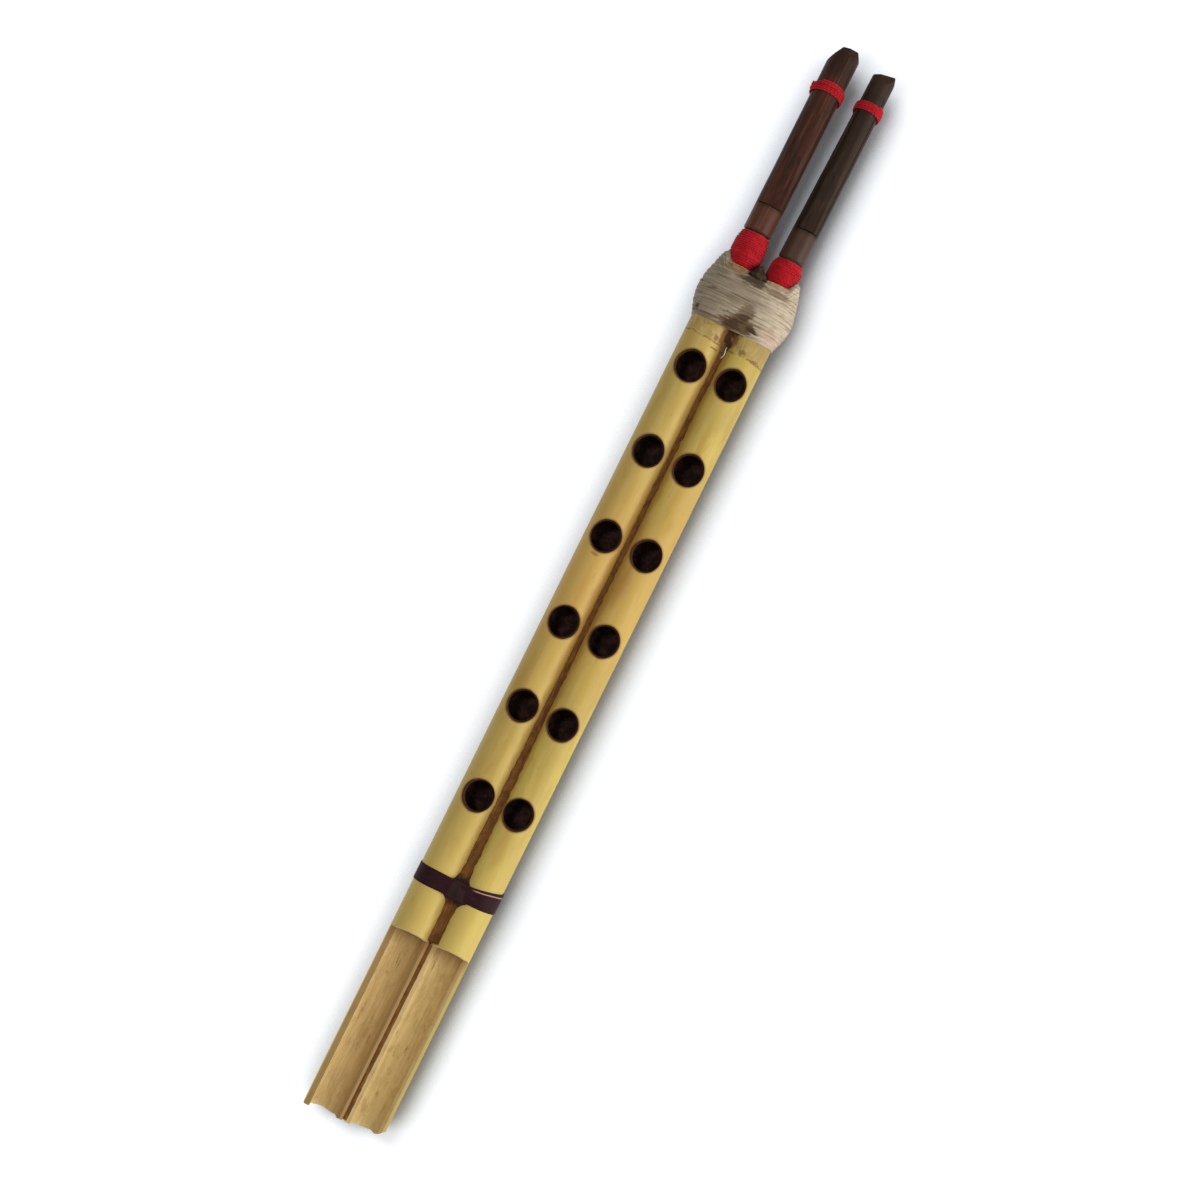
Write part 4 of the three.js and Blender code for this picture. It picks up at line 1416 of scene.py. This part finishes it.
def round_path(turns, steps, place_at, radius_at):
    """Points and outward directions of a winding; both functions get the share done and the turn."""
    path = []
    for step in range(int(turns * steps) + 1):
        turn_now = step / steps
        angle = 2 * math.pi * turn_now - math.pi / 2
        out = Vector((math.cos(angle), 0, math.sin(angle)))
        share = turn_now / turns
        place = Vector((0, place_at(share, turn_now, out), 0))
        path.append((out * radius_at(share, turn_now) + place, out))
    return path


RED = red_material()
print("thread:", RED.name)

# %% [markdown]
# Round each tenon the thread is wound up and down in many turns, full in the
# middle and drawn in at both ends, so the packing is a small barrel. One painted
# barrel would have a smooth outline, so the turns are real. A plain barrel
# underneath stops any light from showing between them.

# %% Red packings
# in millimetres: the ends of the barrel, then its radius at the low end, the middle and the high end
PACKINGS = {"left": (-0.9, 8.75, 3.85, 4.3, 3.7), "right": (-0.9, 6.15, 3.8, 4.2, 3.5)}
# each pass of the thread, in millimetres: its pitch, and how proud it lies
PACKING_PASSES = [(0.42, -0.32), (0.55, -0.1)]
PACKING_STEPS = 60
CORE_STEPS = 64
CORE_RINGS = 16
SLEEVE_INNER, SLEEVE_OUTER = TENON_R - 0.05 * MM, 3.65 * MM
SLEEVE_LOW, SLEEVE_HIGH = mm(-7.7, -1.2)


def packing_radius(place, side):
    bottom, top, low, wide, high = PACKINGS[side]
    share = min(1.0, max(0.0, (place / MM - bottom) / (top - bottom)))
    end = low if share < 0.5 else high
    return mix(end, wide, smooth(0.5 - abs(share - 0.5), 0.0, 0.28)) * MM


def packing_thread(side):
    bottom, top = PACKINGS[side][:2]
    paths = []
    for number, (pitch, rise) in enumerate(PACKING_PASSES):
        def along(share):
            return mix(bottom, top, 1 - share if number else share)

        def place_at(share, turn_now, out):
            wander = 0.18 * waver(turn_now * 0.9, number * 6 + SIDES[side], 3)
            lean = 0.25 * out.x * waver(turn_now * 0.3, number, 9)
            return min(top, max(bottom, along(share) + wander + lean)) * MM

        def radius_at(share, turn_now):
            plump = 0.05 * MM * waver(turn_now * 2.1, number, 4)
            return packing_radius(along(share) * MM, side) + rise * MM + plump

        turns = int((top - bottom) / pitch)
        paths.extend(two_ply(round_path(turns, PACKING_STEPS, place_at, radius_at)))
    return strand(paths, PLY_R, 0)


def packing_core(side):
    bottom, top = PACKINGS[side][:2]
    places = [mix(bottom, top, share) * MM for share in shares(CORE_RINGS)]
    profile = [(SLEEVE_INNER, SLEEVE_LOW), (SLEEVE_OUTER, SLEEVE_LOW), (SLEEVE_OUTER, SLEEVE_HIGH)]
    profile += [(packing_radius(place, side) - 0.3 * MM, place) for place in places]
    profile += [(SLEEVE_INNER, top * MM)]
    return mesh_from(spun(profile, CORE_STEPS), "packing core")


for side in SIDES:
    fit_reed(side, "packing_core", packing_core(side), RED, "packing", "red_thread", "packing_sleeve")
    fit_reed(side, "packing_winding", packing_thread(side), RED, "packing", "red_thread", "packing_thread")

# %% [markdown]
# A few tight turns of the same thread make the bridle, which presses the tongue
# at its root. It rides higher in front than behind, so the round path of the
# packings is used again, with a tilt. On the left reed it is tied off in a small
# knot with a short tail, and the knot is a closed trefoil curve.

# %% Bridles
# the turns, then their pitch and the rise in front in millimetres
BRIDLES = {"left": (5.6, 0.47, 1.9), "right": (5.4, 0.46, 1.5)}
BRIDLE_DROP = 1.5
BRIDLE_STEPS = 64
BRIDLE_LIFT = 0.34
KNOT_STEPS = 60
TAIL_STEPS = 12
TAIL_LENGTH = 1.6 * MM


def bridle_thread(side):
    turns, pitch, tilt = BRIDLES[side]
    centre = REEDS[side]["bridle"] - BRIDLE_DROP
    half = turns * pitch / 2

    def place_at(share, turn_now, out):
        wander = 0.08 * waver(turn_now * 1.3, SIDES[side], 1)
        return (centre + mix(-half, half, share) + tilt * out.z * 0.5 + wander) * MM

    def radius_at(share, turn_now):
        plump = 0.12 * math.sin(math.pi * share)
        return reed_radius(side, centre * MM) + (BRIDLE_LIFT + plump) * MM

    return strand(two_ply(round_path(turns, BRIDLE_STEPS, place_at, radius_at)), PLY_R)


def bridle_knot(side):
    centre = REEDS[side]["bridle"] * MM
    middle = Vector((-reed_radius(side, centre) - 0.45 * MM, centre - 0.7 * MM, 0.4 * MM))
    across = Vector((1, 0, 0))
    knot = []
    for share in shares(KNOT_STEPS):
        t = 2 * math.pi * share
        x, y, z = math.sin(t) + 2 * math.sin(2 * t), math.cos(t) - 2 * math.cos(2 * t), -math.sin(3 * t)
        knot.append((middle + Vector((z * 0.22, x * 0.2, y * 0.2)) * MM, across))
    tail_way = Vector((-0.1, -0.9, 0.5)).normalized()
    tail = []
    for t in shares(TAIL_STEPS):
        tail.append((middle + tail_way * TAIL_LENGTH * t + Vector((0, 0, -0.2 * MM * t ** 2)), across))
    return strand([*two_ply(knot), *two_ply(tail)], PLY_R * 0.9)


for side in SIDES:
    fit_reed(side, "bridle_winding", bridle_thread(side), RED, "bridle", "red_thread", "bridle_thread")
fit_reed("left", "bridle_knot", bridle_knot("left"), RED, "bridle", "red_thread")

# %% [markdown]
# A pale fibre, the cut end of the binding thread, lies on the resin just below
# the binding. A painted line would lie flat, so it is a short loose curl of
# thread that grows thin towards both ends.

# %% Loose fibre
FIBRE_R = 0.13 * MM
FIBRE_STEPS = 24


def loose_fibre():
    path = []
    for t in shares(FIBRE_STEPS):
        x = mix(0.35, 0.85, t) + 0.25 * math.sin(5 * t)
        y = mix(216.3, 219.6, t)
        z = 3.0 + 0.5 * math.sin(math.pi * t) + 0.2 * t
        path.append((Vector(on_pipes(x, y, z)), mix(0.4, 1.0, math.sin(math.pi * t))))
    return strand([path], FIBRE_R, 2)


def fibre_material():
    material, coords = new_material("pale fibre")
    lint = grain(coords, (3000, 3000, 3000), 3.0)
    surface(blend(lint, rgb(214, 200, 172), rgb(244, 238, 222)), 0.8, lint, 0.4, 0.05)
    return material


hand_over("loose_fibre", loose_fibre(), fibre_material(), PIPES, "waxed_thread")

# %% [markdown]
# Last, the size of the dressed model is set beside that of the plain one, because
# looks may not change the instrument's dimensions.

# %% Sizes, and the end
visual_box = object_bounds()
for label, box in (("plain", cad_box), ("dressed", visual_box)):
    print(label, [round((b - a) / MM, 2) for a, b in zip(*box)])
